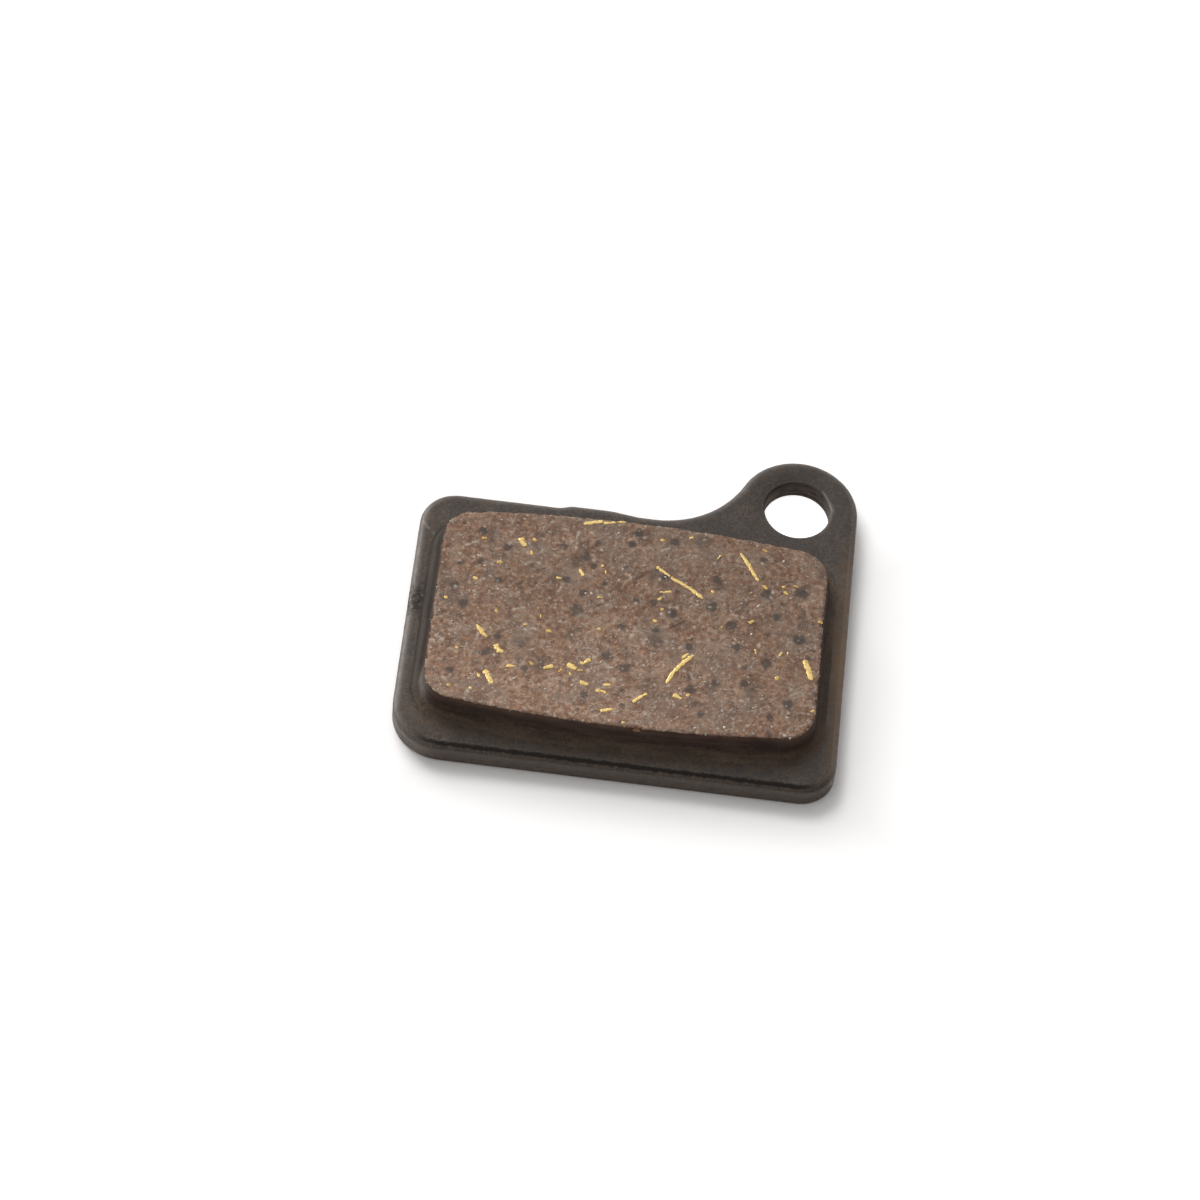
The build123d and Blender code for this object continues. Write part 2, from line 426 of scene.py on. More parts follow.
class PadCompoundSettings(PropertyGroup):
    """Friction block: colours of the compound and depths of its relief."""

    dark_brown: colour_setting("Dark Brown", "Darkest parts of the resin", (0.116, 0.066, 0.046))
    brown: colour_setting("Resin Brown", "Middle colour of the resin", (0.2, 0.113, 0.073))
    pale_brown: colour_setting("Pale Brown", "Palest parts of the resin", (0.315, 0.222, 0.16))
    grey_brown: colour_setting("Grey Brown", "Greyer patches of the compound", (0.168, 0.124, 0.097))
    graphite: colour_setting("Graphite", "Dark grains", (0.062, 0.053, 0.048))
    mineral: colour_setting("Mineral", "Pale grains", (0.46, 0.4, 0.335))
    rust: colour_setting("Rust", "Reddish grains", (0.36, 0.18, 0.085))
    # Painted light and shade: this colour is for upper walls in the lee of the key light, the next for walls that face
    # it
    wall_colour: colour_setting(
        "Wall Colour", "Dark upper part of the block's walls", (0.047, 0.0285, 0.0235))
    lit_wall_colour: colour_setting(
        "Lit Wall Colour", "Coat on the walls that face the light", (0.031, 0.0225, 0.0175))
    mesh_step: length_setting("Mesh Step", "Spacing of the block's mesh", 0.11 * MM)
    grain_relief: length_setting("Grain Relief", "Height of the ground grain", 0.024 * MM)
    pit_depth: length_setting("Pit Depth", "Depth of the pits that lost grains leave", 0.05 * MM)
    chip_reach: length_setting("Chip Reach", "How far chips reach in from the face's edge", 0.34 * MM)
    chip_depth: length_setting("Chip Depth", "Depth of the chips along the face's edge", 0.15 * MM)
    wall_relief: length_setting("Wall Relief", "Unevenness of the moulded walls", 0.07 * MM)
    foot_radius: length_setting("Foot Radius", "Hollow between the walls and the plate", 0.6 * MM)
    foot_sink: length_setting("Foot Sink", "How far the block's foot is let into the plate", 0.03 * MM)
    seed: IntProperty(name="Relief Seed", description="Seed of the relief", default=4)


class PadSliverSettings(PropertyGroup):
    """Brass slivers in the friction face."""

    colour: colour_setting("Brass", "Colour of clean brass", (0.87, 0.648, 0.265))
    dull_colour: colour_setting("Dull Brass", "Colour of smeared or tarnished brass", (0.51, 0.332, 0.11))
    stand: length_setting("Stand", "How far a sliver stands out of the face", 0.025 * MM)
    wander: length_setting("Wander", "How far a sliver strays from a smooth line", 0.05 * MM)
    short_length: length_setting("Short Length", "Length of the short bits", 0.3 * MM)
    short_width: length_setting("Short Width", "Width of the short bits", 0.23 * MM)
    seed: IntProperty(name="Sliver Seed", description="Seed of the slivers", default=11)


class PadGritSettings(PropertyGroup):
    """Mineral grains that the grinding left standing in the friction face."""

    density: FloatProperty(
        name="Grit Density", description="Grains on a square metre of the face", default=1.7e6)
    size: length_setting("Grit Size", "Radius of a middling grain", 0.075 * MM)
    stand: length_setting("Grit Stand", "How far a large grain stands out of the face at most", 0.08 * MM)
    colour: colour_setting("Grit Colour", "Colour of the palest grit", (0.6, 0.56, 0.5))
    dull_colour: colour_setting("Dull Grit Colour", "Colour of the dullest grit", (0.2, 0.145, 0.11))
    seed: IntProperty(name="Grit Seed", description="Seed of the grit", default=23)


# Node trees

class Graph:
    """A node tree being wired: each method adds nodes and gives back what they put out."""

    def __init__(self, tree):
        self.tree = tree

    def feed(self, socket, value):
        """Links a socket to another, or sets its value."""
        if isinstance(value, bpy.types.NodeSocket):
            self.tree.links.new(value, socket)
        elif value is not None:
            socket.default_value = value

    def fill(self, made, inputs):
        """Feeds a node's inputs, by name or number."""
        for key, value in inputs.items():
            self.feed(made.inputs[key], value)

    def node(self, kind, inputs=None, **settings):
        """Adds a node, sets it up and feeds its inputs."""
        made = self.tree.nodes.new(kind)
        for name, value in settings.items():
            setattr(made, name, value)
        self.fill(made, inputs or {})
        return made

    def math(self, operation, *values, clamp=False):
        """An operation on one to three values."""
        made = self.node("ShaderNodeMath", dict(enumerate(values)), operation=operation, use_clamp=clamp)
        return made.outputs[0]

    def times(self, *values):
        """Values multiplied in turn."""
        return reduce(partial(self.math, "MULTIPLY"), values)

    def plus(self, *values):
        """Values added in turn."""
        return reduce(partial(self.math, "ADD"), values)

    def most(self, *values):
        """The greatest of some values."""
        return reduce(partial(self.math, "MAXIMUM"), values)

    def less(self, value, other, clamp=False):
        """One value less another."""
        return self.math("SUBTRACT", value, other, clamp=clamp)

    def scaled(self, vector, factor):
        """A vector times a number."""
        made = self.node("ShaderNodeVectorMath", {0: vector, "Scale": factor}, operation="SCALE")
        return made.outputs[0]

    def vector(self, operation, a, b):
        """An operation on two vectors."""
        return self.node("ShaderNodeVectorMath", {0: a, 1: b}, operation=operation).outputs[0]

    def split(self, vector):
        """A vector's three parts."""
        return self.node("ShaderNodeSeparateXYZ", {0: vector}).outputs

    def ease(self, value, start, end, low=0.0, high=1.0):
        """A smooth step from low at start to high at end."""
        inputs = {"Value": value, "From Min": start, "From Max": end, "To Min": low, "To Max": high}
        return self.node("ShaderNodeMapRange", inputs, interpolation_type="SMOOTHSTEP").outputs[0]

    def noise(self, vector, scale, detail=2.0, roughness=0.5, seed=0.0):
        """Soft noise, from 0 to 1 about a half."""
        inputs = {"Vector": vector, "W": seed, "Scale": scale, "Detail": detail, "Roughness": roughness}
        return self.node("ShaderNodeTexNoise", inputs, noise_dimensions="4D").outputs[0]

    def ripple(self, *place, **look):
        """Soft noise, from minus a half to a half."""
        return self.less(self.noise(*place, **look), 0.5)

    def swirl(self, vector, scale, detail=2.0, seed=None):
        """Soft noise in three directions at once, which a seed changes."""
        inputs = {"Vector": vector, "Scale": scale, "Detail": detail}
        if seed is None:
            return self.node("ShaderNodeTexNoise", inputs).outputs["Color"]
        inputs["W"] = seed
        return self.node("ShaderNodeTexNoise", inputs, noise_dimensions="4D").outputs["Color"]

    def cells(self, vector, scale):
        """Cells: the distance from the nearest one's middle, and three lots drawn for it."""
        made = self.node("ShaderNodeTexVoronoi", {"Vector": vector, "Scale": scale})
        kind = "FunctionNodeSeparateColor" if self.tree.type == "GEOMETRY" else "ShaderNodeSeparateColor"
        return made.outputs["Distance"], self.node(kind, {0: made.outputs["Color"]}).outputs

    def laid(self, vector, degrees, scale):
        """A place turned and drawn out, so that a pattern on it lies one way."""
        inputs = {"Vector": vector, "Rotation": (0.0, 0.0, math.radians(degrees)), "Scale": scale}
        return self.node("ShaderNodeMapping", inputs, vector_type="TEXTURE").outputs[0]

    def blend(self, factor, a, b):
        """Two colours mixed by a mask."""
        return self.node("ShaderNodeMix", {0: factor, 6: a, 7: b}, data_type="RGBA").outputs[2]

    def between(self, factor, a, b):
        """Two values mixed by a mask."""
        return self.node("ShaderNodeMix", {0: factor, 2: a, 3: b}).outputs[0]

    def ramp(self, value, *stops):
        """Colours along a value, as (position, colour) pairs."""
        made = self.node("ShaderNodeValToRGB", {0: value})
        elements = made.color_ramp.elements
        while len(elements) < len(stops):
            elements.new(1.0)
        for element, (position, colour) in zip(elements, stops):
            element.position = position
            element.color = rgba(colour)
        return made.outputs[0]

    def group(self, tree, inputs):
        """A placed shader group's outputs."""
        return self.node("ShaderNodeGroup", inputs, node_tree=tree).outputs

    def attribute(self, name):
        """A value that the mesh carries."""
        if self.tree.type == "GEOMETRY":
            return self.node("GeometryNodeInputNamedAttribute", {"Name": name}).outputs[0]
        return self.node("ShaderNodeAttribute", attribute_name=name).outputs["Fac"]

    def position(self):
        """Each point's place, in a geometry tree."""
        return self.node("GeometryNodeInputPosition").outputs[0]

    def moved(self, geometry, offset, position=None):
        """Geometry with its points moved from where they are, or from another position."""
        inputs = {"Geometry": geometry, "Position": position, "Offset": offset}
        return self.node("GeometryNodeSetPosition", inputs).outputs[0]


def new_tree(name, kind, inputs, outputs):
    """A node group with named sockets, each given by its type, or by its default if it is a number."""
    tree = bpy.data.node_groups.new(name, kind)
    for side, sockets in (("INPUT", inputs), ("OUTPUT", outputs)):
        for label, given in sockets.items():
            word = given if isinstance(given, str) else "Float"
            item = tree.interface.new_socket(name=label, in_out=side, socket_type=f"NodeSocket{word}")
            if word != given:
                item.default_value = given
    graph = Graph(tree)
    return graph, graph.node("NodeGroupInput").outputs, graph.node("NodeGroupOutput").inputs


def new_geometry_tree(name, *sizes, seed=0.0):
    """A geometry tree that takes named sizes, a seed and a material."""
    inputs = {"Geometry": "Geometry", **dict.fromkeys(sizes, 0.0), "Seed": seed, "Material": "Material"}
    return new_tree(name, "GeometryNodeTree", inputs, {"Geometry": "Geometry"})


def close_tree(graph, given, out, geometry):
    """Ends a geometry tree in one plain mesh with its material."""
    whole = graph.node("GeometryNodeRealizeInstances", {0: geometry}).outputs[0]
    made = graph.node("GeometryNodeSetMaterial", {"Geometry": whole, "Material": given["Material"]})
    graph.feed(out[0], made.outputs[0])
    return graph.tree


# Finishes

def rgba(colour):
    """A colour property as the four numbers that a socket takes."""
    return (*colour, 1.0)


def new_material(name):
    """An empty material: its graph, its shader and the surface's own place in millimetres."""
    material = bpy.data.materials.new(name)
    material.use_nodes = True
    graph = Graph(material.node_tree)
    shader = material.node_tree.nodes["Principled BSDF"]
    place = graph.node("ShaderNodeTexCoord").outputs["Object"]
    return material, graph, shader, graph.scaled(place, 1.0 / MM)


def bump(graph, shader, height, depth, strength):
    """Bends the shader's normal by a height whose full range is depth."""
    made = graph.node("ShaderNodeBump", {"Height": height, "Distance": depth, "Strength": strength})
    graph.fill(shader, {"Normal": made.outputs[0], "Coat Normal": made.outputs[0]})


def bands(graph, place, along, up, **look):
    """Noise drawn out along the walls, in bands one above the other."""
    return graph.noise(graph.vector("MULTIPLY", place, (along, along, up)), 1.0, **look)


def make_grain_cells():
    """Shader group: separate grains of uneven size, as a mask with soft edges."""
    graph, given, out = new_tree("Grain Cells", "ShaderNodeTree", {
        "Vector": "Vector", "Scale": 1.0, "Share": 0.3, "Size": 0.4, "Softness": 0.3, "Raggedness": 0.2},
        {"Mask": "Float"})
    away, draw = graph.cells(given["Vector"], given["Scale"])
    finer = graph.times(given["Scale"], 3.1)
    ragged = graph.times(graph.ripple(given["Vector"], finer), given["Raggedness"])
    radius = graph.times(given["Size"], graph.ease(draw[1], 0.0, 1.0, 0.45, 1.0))
    core = graph.times(radius, graph.less(1.0, given["Softness"]))
    inside = graph.ease(graph.plus(away, ragged), radius, core)
    chosen = graph.math("LESS_THAN", draw[0], given["Share"])
    graph.feed(out["Mask"], graph.times(inside, chosen))
    return graph.tree


def grain_mask(graph, grain_cells, place, recipe):
    """The mask of one kind of grain."""
    return graph.group(grain_cells, {"Vector": place, **dict(zip(GRAIN_INPUTS, recipe))})[0]


def make_satin_coat(settings, grain_cells):
    """Shader group: the black coat's colour, gloss and height, for whatever carries it."""
    graph, given, out = new_tree(
        "Satin Coat", "ShaderNodeTree",
        {"Vector": "Vector", "Thin": 0.0, "Film": 0.0, "Dust": 0.0, "Rubbed": 0.0},
        {"Color": "Color", "Roughness": "Float", "Lacquer": "Float", "Height": "Float"})
    place = given["Vector"]
    mottle = graph.noise(place, 0.55, detail=3.0, roughness=0.6)
    cloud = graph.noise(place, 2.4, detail=3.0, roughness=0.6, seed=2.0)
    grain = graph.noise(place, 6.0, detail=2.0, roughness=0.6)
    scuff = graph.noise(graph.laid(place, 8.0, (0.9, 0.10, 0.4)), 1.0, detail=2.0, seed=4.0)

    patchy = graph.plus(graph.ease(grain, 0.36, 0.66, 0.0, 0.60), graph.ease(cloud, 0.40, 0.64, 0.0, 0.45))
    # The Thin input carries thin coat and also painted fill light.
    thin_and_fill = graph.plus(
        graph.times(patchy, graph.ease(mottle, 0.35, 0.65, 0.7, 1.2)),
        graph.ease(scuff, 0.55, 0.75, 0.0, 0.25),
        graph.times(given["Thin"], graph.ease(grain, 0.2, 0.6, 0.6, 1.0)))
    film = graph.times(given["Film"], graph.ease(cloud, 0.3, 0.7, 0.6, 1.0))
    specks = grain_mask(graph, grain_cells, place, COAT_SPECKS)
    dust = grain_mask(graph, grain_cells, graph.vector("ADD", place, (17.0, 3.0, 9.0)), COAT_DUST)
    settled = graph.most(graph.times(specks, 0.35), graph.times(dust, given["Dust"]))
    # The Rubbed input carries rubbed coat and also painted highlights.
    rubbed = graph.times(given["Rubbed"], graph.ease(grain, 0.25, 0.55, 0.55, 1.0))

    colour = rgba(settings.colour)
    for mask, tint in ((thin_and_fill, settings.thin_and_fill_colour), (film, settings.film_colour),
                       (settled, settings.dust_colour), (rubbed, settings.rubbed_and_highlight_colour)):
        colour = graph.blend(mask, colour, rgba(tint))
    graph.feed(out["Color"], colour)
    rough = graph.plus(graph.ease(grain, 0.25, 0.75, 0.50, 0.66), graph.times(settled, 0.2))
    graph.feed(out["Roughness"], rough)
    lost = graph.times(graph.plus(settled, film, rubbed), 0.5)
    graph.feed(out["Lacquer"], graph.less(graph.ease(cloud, 0.35, 0.65, 0.95, 0.5), lost, clamp=True))
    height = graph.plus(graph.times(grain, 0.5), graph.times(cloud, 0.6), graph.times(settled, 0.4))
    graph.feed(out["Height"], height)
    return graph.tree


def coat_material(settings, satin_coat):
    """Satin black coat on the stamped plate, thinner on its rolled edge and dull beside the block, with painted fill,
    highlights and shade.
    """
    material, graph, shader, place = new_material("satin_black_coat")
    edge = graph.attribute("edge_mm")
    rolled = graph.times(graph.ease(edge, 0.6, 0.15), graph.ease(edge, -0.5, -0.2))
    # The rolled edge has thin coat; the walls growing paler towards their foot is painted fill light against the
    # floor's shade.
    thin_and_fill = graph.plus(graph.times(rolled, 0.35), graph.ease(edge, -0.2, -0.6, 0.0, 0.4))
    coat = graph.group(satin_coat, {
        "Vector": place, "Thin": thin_and_fill, "Film": graph.attribute("film"),
        "Dust": graph.attribute("dust"), "Rubbed": graph.attribute("rubbed")})

    drawn = graph.ease(bands(graph, place, 0.5, 7.0, detail=3.0, roughness=0.6, seed=7.0), 0.35, 0.65)
    drawn = graph.times(drawn, graph.ease(edge, -0.02, -0.3))
    colour = graph.blend(graph.times(drawn, 0.9), coat["Color"], rgba(settings.thin_and_fill_colour))
    sheared = bands(graph, place, 0.7, 9.0, detail=3.0, roughness=0.6, seed=15.0)
    sheared = graph.between(graph.attribute("bore"), 1.0, graph.ease(sheared, 0.38, 0.64, 0.35, 2.1))
    colour = graph.scaled(colour, sheared)

    flaky = graph.noise(place, 4.5, detail=3.0, roughness=0.65, seed=3.0)
    flaked = graph.times(graph.ease(flaky, 0.62, 0.42), graph.ease(graph.attribute("crust"), 0.0, 0.5))
    pitted = graph.times(graph.most(flaked, graph.attribute("pitted")), 0.75)
    # Painted shade: a dark crumbly line along the roll of the front edge, mixed in with the pits.
    crumbly = graph.ripple(place, 3.4, detail=4.0, roughness=0.7, seed=12.0)
    shaded = graph.plus(edge, graph.times(crumbly, 0.405))
    shaded = graph.times(graph.ease(shaded, 0.18, 0.32), graph.ease(shaded, 0.64, 0.46))
    pitted = graph.most(pitted, graph.times(shaded, graph.attribute("front")))

    beside_block = graph.ease(graph.attribute("foot_mm"), 0.2, 0.9, 0.42, 1.0)
    down_wall = graph.ease(edge, -0.5, -0.1, 0.8, 1.0)
    graph.fill(shader, {
        "Base Color": graph.blend(pitted, colour, rgba(settings.pit_and_shade_colour)),
        "Roughness": coat["Roughness"],
        "Coat Weight": graph.times(coat["Lacquer"], beside_block, down_wall, graph.less(1.0, pitted)),
        "Coat Roughness": COAT_ROUGHNESS, "Specular IOR Level": 0.15})
    bump(graph, shader, graph.plus(coat["Height"], graph.times(drawn, 0.8)), 0.018 * MM, 0.8)
    return material


def resin_colour(graph, settings, place, fine):
    """The resin's browns: flakes, grey, dark and pale patches, and bunches of fibre strokes."""
    warped = graph.vector("ADD", place, graph.scaled(graph.swirl(place, 3.0, detail=1.0), 0.35))
    _, flake = graph.cells(warped, 3.3)
    medium = graph.noise(place, 0.85, detail=2.0, roughness=0.55, seed=3.0)
    broad = graph.noise(place, 0.42, detail=3.0, roughness=0.55)
    shade = graph.plus(fine, graph.times(graph.less(flake[0], 0.5), 0.13))
    grey = graph.plus(broad, graph.times(flake[1], 0.22))
    colour = graph.ramp(
        shade, (0.31, settings.dark_brown), (0.49, settings.brown), (0.73, settings.pale_brown))
    for mask, tint in ((graph.ease(grey, 0.52, 0.74, 0.0, 0.75), settings.grey_brown),
                       (graph.ease(medium, 0.50, 0.30, 0.0, 0.62), settings.dark_brown),
                       (graph.ease(medium, 0.52, 0.72, 0.0, 0.36), settings.pale_brown)):
        colour = graph.blend(mask, colour, rgba(tint))
    for turn, long, wide, seed, amount in FIBRE_STROKES:
        bunched = graph.ease(graph.noise(place, 0.7, detail=2.0, seed=seed + 20.0), 0.42, 0.62, 0.1, amount)
        stroke = graph.noise(graph.laid(place, turn, (long, wide, 1.0)), 1.0, detail=1.0, seed=seed)
        stroke = graph.ease(stroke, 0.55, 0.72)
        colour = graph.blend(graph.times(stroke, bunched), colour, rgba(settings.mineral))
    return colour


def face_grains(graph, grain_cells, place):
    """A mask for each kind of grain in the compound, and for the larger dark ones that are placed."""
    masks = {}
    for index, (name, recipe) in enumerate(GRAIN_KINDS.items()):
        shifted = graph.vector("ADD", place, (37.0 * index, 11.0, 5.0))
        masks[name] = grain_mask(graph, grain_cells, shifted, recipe)
    spot = graph.attribute("graphite")
    ragged = graph.ripple(place, 2.2, detail=3.0, roughness=0.6, seed=14.0)
    placed = graph.ease(graph.plus(spot, graph.times(ragged, 1.6)), 0.15, 0.75)
    masks["placed graphite"] = graph.times(placed, graph.ease(spot, 0.0, 0.2))
    return masks


def face_colour(graph, settings, place, fine, grains, crack):
    """The ground face: resin and grains, painted lighter to the lower left and darker to the upper right, with fibres
    and cracks.
    """
    colour = resin_colour(graph, settings, place, fine)
    for name, tint, amount in GRAIN_LAYERS:
        colour = graph.blend(graph.times(grains[name], amount), colour, rgba(getattr(settings, tint)))
    at = graph.split(place)
    # Painted light: the face is lighter towards the lower left and darker towards the upper right.
    painted_light_low_left = graph.times(graph.ease(at[1], 3.0, -8.0), graph.ease(at[0], 11.0, 1.0))
    painted_shade_up_right = graph.times(graph.ease(at[1], -4.0, 6.0), graph.ease(at[0], -6.0, 9.0))
    lit = graph.plus(graph.times(painted_light_low_left, 0.20), graph.less(1.0, graph.times(painted_shade_up_right, 0.08)))
    colour = graph.scaled(colour, lit)
    fibre = graph.times(graph.attribute("fibre"), graph.ease(fine, 0.35, 0.60, 0.15, 0.85))
    colour = graph.blend(fibre, colour, rgba(settings.mineral))
    return graph.blend(graph.times(crack, 0.8), colour, rgba(settings.dark_brown))


def wall_colour(graph, settings, edge, lee, fine, coat, rubbed):
    """The coated walls as painted light and shade: brown above and black at the foot in the lee, and black in the
    light.
    """
    low = graph.most(graph.ease(edge, -0.6, -1.9), rubbed)
    upper = graph.blend(graph.ease(fine, 0.4, 0.7, 0.0, 0.5), rgba(settings.wall_colour), coat)
    lit_wall = graph.blend(graph.most(rubbed, 0.4), rgba(settings.lit_wall_colour), coat)
    return graph.blend(graph.ease(lee, 0.5, 0.1), graph.blend(low, upper, coat), lit_wall)


def compound_material(settings, satin_coat, grain_cells):
    """Ground friction compound on the face, and the coat down the block's walls, painted by the side that the key light
    falls on.
    """
    material, graph, shader, place = new_material("friction_compound")
    edge, lee, crack = (graph.attribute(name) for name in ("edge_mm", "lee", "crack"))
    fine = graph.noise(place, 2.8, detail=4.0, roughness=0.55)
    grains = face_grains(graph, grain_cells, place)
    face = face_colour(graph, settings, place, fine, grains, crack)

    # Painted highlight on the wall round the block's lower-left corner.
    rubbed = graph.times(graph.attribute("rubbed"), graph.ease(edge, -1.9, -1.3))
    # Dust and film together with painted fill light: the lower walls in the lee of the key light are paler and browner.
    down = graph.times(graph.ease(edge, -0.7, -1.8), lee)
    coat = graph.group(satin_coat, {
        "Vector": place, "Thin": graph.times(down, 0.6), "Film": graph.times(down, 0.12),
        "Dust": graph.times(down, 0.5), "Rubbed": rubbed})
    wobble = graph.ripple(place, 3.2, detail=4.0, roughness=0.7)
    wobbled = graph.plus(edge, graph.times(wobble, 0.34))
    bare = graph.ease(wobbled, -0.06, 0.02)
    # A brown stain below the face's edge, full on the walls in the lee of the key light as painted shade and weaker in
    # its light.
    stain_and_shade = graph.times(graph.ease(wobbled, -0.6, -0.05, 0.0, 0.35), graph.ease(lee, 0.0, 0.6, 0.3, 1.0))
    wall = wall_colour(graph, settings, edge, lee, fine, coat["Color"], rubbed)
    wall = graph.blend(stain_and_shade, wall, rgba(settings.dark_brown))
    banded = bands(graph, place, 0.35, 2.2, detail=2.0, roughness=0.5, seed=16.0)
    wall = graph.scaled(wall, graph.ease(banded, 0.35, 0.65, 0.78, 1.22))
    chip = graph.ease(graph.plus(graph.attribute("chip"), graph.times(wobble, 0.8)), 0.35, 0.6)
    raw = graph.blend(0.5, face, rgba(settings.rust))
    wall = graph.blend(graph.times(chip, 0.8), wall, raw)

    rough = graph.less(graph.ease(fine, 0.3, 0.7, 0.90, 0.74), graph.times(grains["graphite"], 0.18))
    in_light = graph.ease(edge, -1.88, -1.99, 0.08, 0.40)
    in_lee = graph.ease(edge, -1.2, -1.95, 0.0, 0.3)
    lacquer = graph.times(coat["Lacquer"], graph.between(lee, in_light, in_lee), graph.less(1.0, chip))
    graph.fill(shader, {
        "Base Color": graph.blend(bare, wall, face),
        "Roughness": graph.between(bare, coat["Roughness"], rough),
        "Coat Weight": lacquer,
        "Coat Roughness": COAT_ROUGHNESS, "Specular IOR Level": 0.08})
    sunken = graph.plus(graph.times(grains["graphite"], 0.35), graph.times(crack, 1.5))
    height = graph.less(graph.plus(fine, graph.times(grains["mineral"], 0.5)), sunken)
    bump(graph, shader, graph.between(bare, coat["Height"], height), 0.03 * MM, 0.8)
    return material


def brass_material(settings):
    """Cut brass, scuffed by grinding, duller in the small bits."""
    material, graph, shader, place = new_material("cut_brass")
    smear = graph.noise(place, 6.0, detail=3.0, roughness=0.65)
    clean = graph.less(graph.ease(smear, 0.28, 0.52), graph.attribute("dull"), clamp=True)
    graph.fill(shader, {
        "Base Color": graph.blend(clean, rgba(settings.dull_colour), rgba(settings.colour)),
        "Roughness": graph.ease(smear, 0.35, 0.65, 0.60, 0.42), "Metallic": 0.8})
    bump(graph, shader, smear, 0.02 * MM, 0.6)
    return material


def grit_material(settings):
    """Mineral grains from dull brown to white, each faintly mottled."""
    material, graph, shader, place = new_material("mineral_grit")
    patch = graph.times(graph.ripple(place, 8.0, detail=2.0), 0.3)
    shade = graph.plus(graph.attribute("shade"), patch)
    warm = Vector(settings.dull_colour).lerp(Vector(settings.colour), 0.35)
    graph.fill(shader, {
        "Base Color": graph.ramp(
            shade, (0.0, settings.dull_colour), (0.5, warm), (0.95, settings.colour)),
        "Roughness": graph.ease(shade, 0.2, 1.0, 0.8, 0.45), "Specular IOR Level": 0.3})
    return material


# Places on the pad

def camera_turn(stage):
    """The camera's rotation from its place, its aim and its roll."""
    sight = Vector(stage.aim) - Vector(stage.eye)
    return sight.to_track_quat("-Z", "Y") @ Quaternion((0.0, 0.0, 1.0), stage.roll)


def shown_at(stage, pixel, level):
    """The point at a level that a pixel of the photograph shows."""
    focal = stage.lens / SENSOR * PHOTO_SIDE
    ray = Vector(((pixel[0] - PHOTO_SIDE / 2) / focal, (PHOTO_SIDE / 2 - pixel[1]) / focal, -1.0))
    ray = camera_turn(stage) @ ray
    eye = Vector(stage.eye)
    return eye + ray * ((level - eye.z) / ray.z)


def fade(values, start, width):
    """0 up to a start and 1 from a width past it."""
    return np.clip((values - start) / width, 0.0, 1.0)


def near(away, reach):
    """1 at no distance and 0 from a reach on."""
    return np.clip(1.0 - away / reach, 0.0, 1.0)


def smooth(values):
    """The same from 0 to 1, with soft ends."""
    return values * values * (3.0 - 2.0 * values)


def soft_spot(points, middle, radius):
    """1 at a place and 0 from a radius on, for each point."""
    return smooth(near(np.linalg.norm(points[:, :2] - np.array(middle[:2]), axis=1), radius))


def soft_line(points, path, width):
    """1 on a line and 0 from a width on, for each point."""
    away = np.full(len(points), 1.0)
    for start, end in zip(path, path[1:]):
        start, end = np.array(start[:2]), np.array(end[:2])
        run = end - start
        along = np.clip((points[:, :2] - start) @ run / (run @ run), 0.0, 1.0)
        away = np.minimum(away, np.linalg.norm(points[:, :2] - start - along[:, None] * run, axis=1))
    return smooth(near(away, width))


def face_lines(points, lines, stage):
    """1 on lines drawn on the face and 0 beside them, for each point."""
    drawn = np.zeros(len(points))
    for width, *pixels in lines:
        path = [shown_at(stage, pixel, FACE_Z) for pixel in pixels]
        drawn = np.maximum(drawn, soft_line(points, path, width * MM))
    return drawn


# Meshes

def new_piece(name, data):
    """An object at the origin."""
    piece = bpy.data.objects.new(name, data)
    bpy.context.scene.collection.objects.link(piece)
    return piece


def carry(mesh, name, values):
    """Gives a mesh a value at each point."""
    mesh.attributes.new(name, "FLOAT", "POINT").data.foreach_set("value", np.asarray(values, np.float32))


def new_mesh(name, points, faces, marks, smooth_faces):
    """A mesh that carries marks at its points, the first so many of its faces smooth."""
    mesh = bpy.data.meshes.new(name)
    mesh.from_pydata(points.tolist(), [], [[int(k) for k in face] for face in faces])
    for mark, values in marks.items():
        carry(mesh, mark, values)
    mesh.polygons.foreach_set("use_smooth", [k < smooth_faces for k in range(len(faces))])
    mesh.update()
    return mesh


def run_tree(piece, tree, values):
    """Puts a geometry tree on a piece with its inputs set, and keeps the result as a plain mesh."""
    modifier = piece.modifiers.new(tree.name, "NODES")
    modifier.node_group = tree
    for item in tree.interface.items_tree:
        if item.item_type == "SOCKET" and item.name in values:
            modifier[item.identifier] = values[item.name]
    bpy.context.view_layer.update()
    depsgraph = bpy.context.evaluated_depsgraph_get()
    made = bpy.data.meshes.new_from_object(
        piece.evaluated_get(depsgraph), preserve_all_data_layers=True, depsgraph=depsgraph)
    piece.modifiers.clear()
    piece.data = made
    made.name = piece.name
    if not made.polygons:
        raise RuntimeError(f"{tree.name} made no faces")


def settle(piece, slot, *nodes):
    """Ties a finished piece to the pad, and hides the solids that it stands for."""
    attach(piece, BODY)
    if nodes:
        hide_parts(*nodes)


def level_loops(node, level):
    """The closed loops that a solid's edges make at a level, longest first."""
    spot = [tuple(round(c, DIGITS) for c in v.co) for v in node.data.vertices]
    beside = {}
    for a, b in node.data.edge_keys:
        ends = spot[a], spot[b]
        if all(abs(end[2] - level) < SAME for end in ends):
            beside.setdefault(ends[0], set()).add(ends[1])
            beside.setdefault(ends[1], set()).add(ends[0])
    loops = []
    while beside:
        at = min(beside)
        loop = []
        while at is not None:
            loop.append(at[:2])
            at = min((p for p in beside.pop(at) if p in beside), default=None)
        loops.append(np.array(loop))
    return sorted(loops, key=lambda loop: -np.ptp(loop, axis=0).sum())


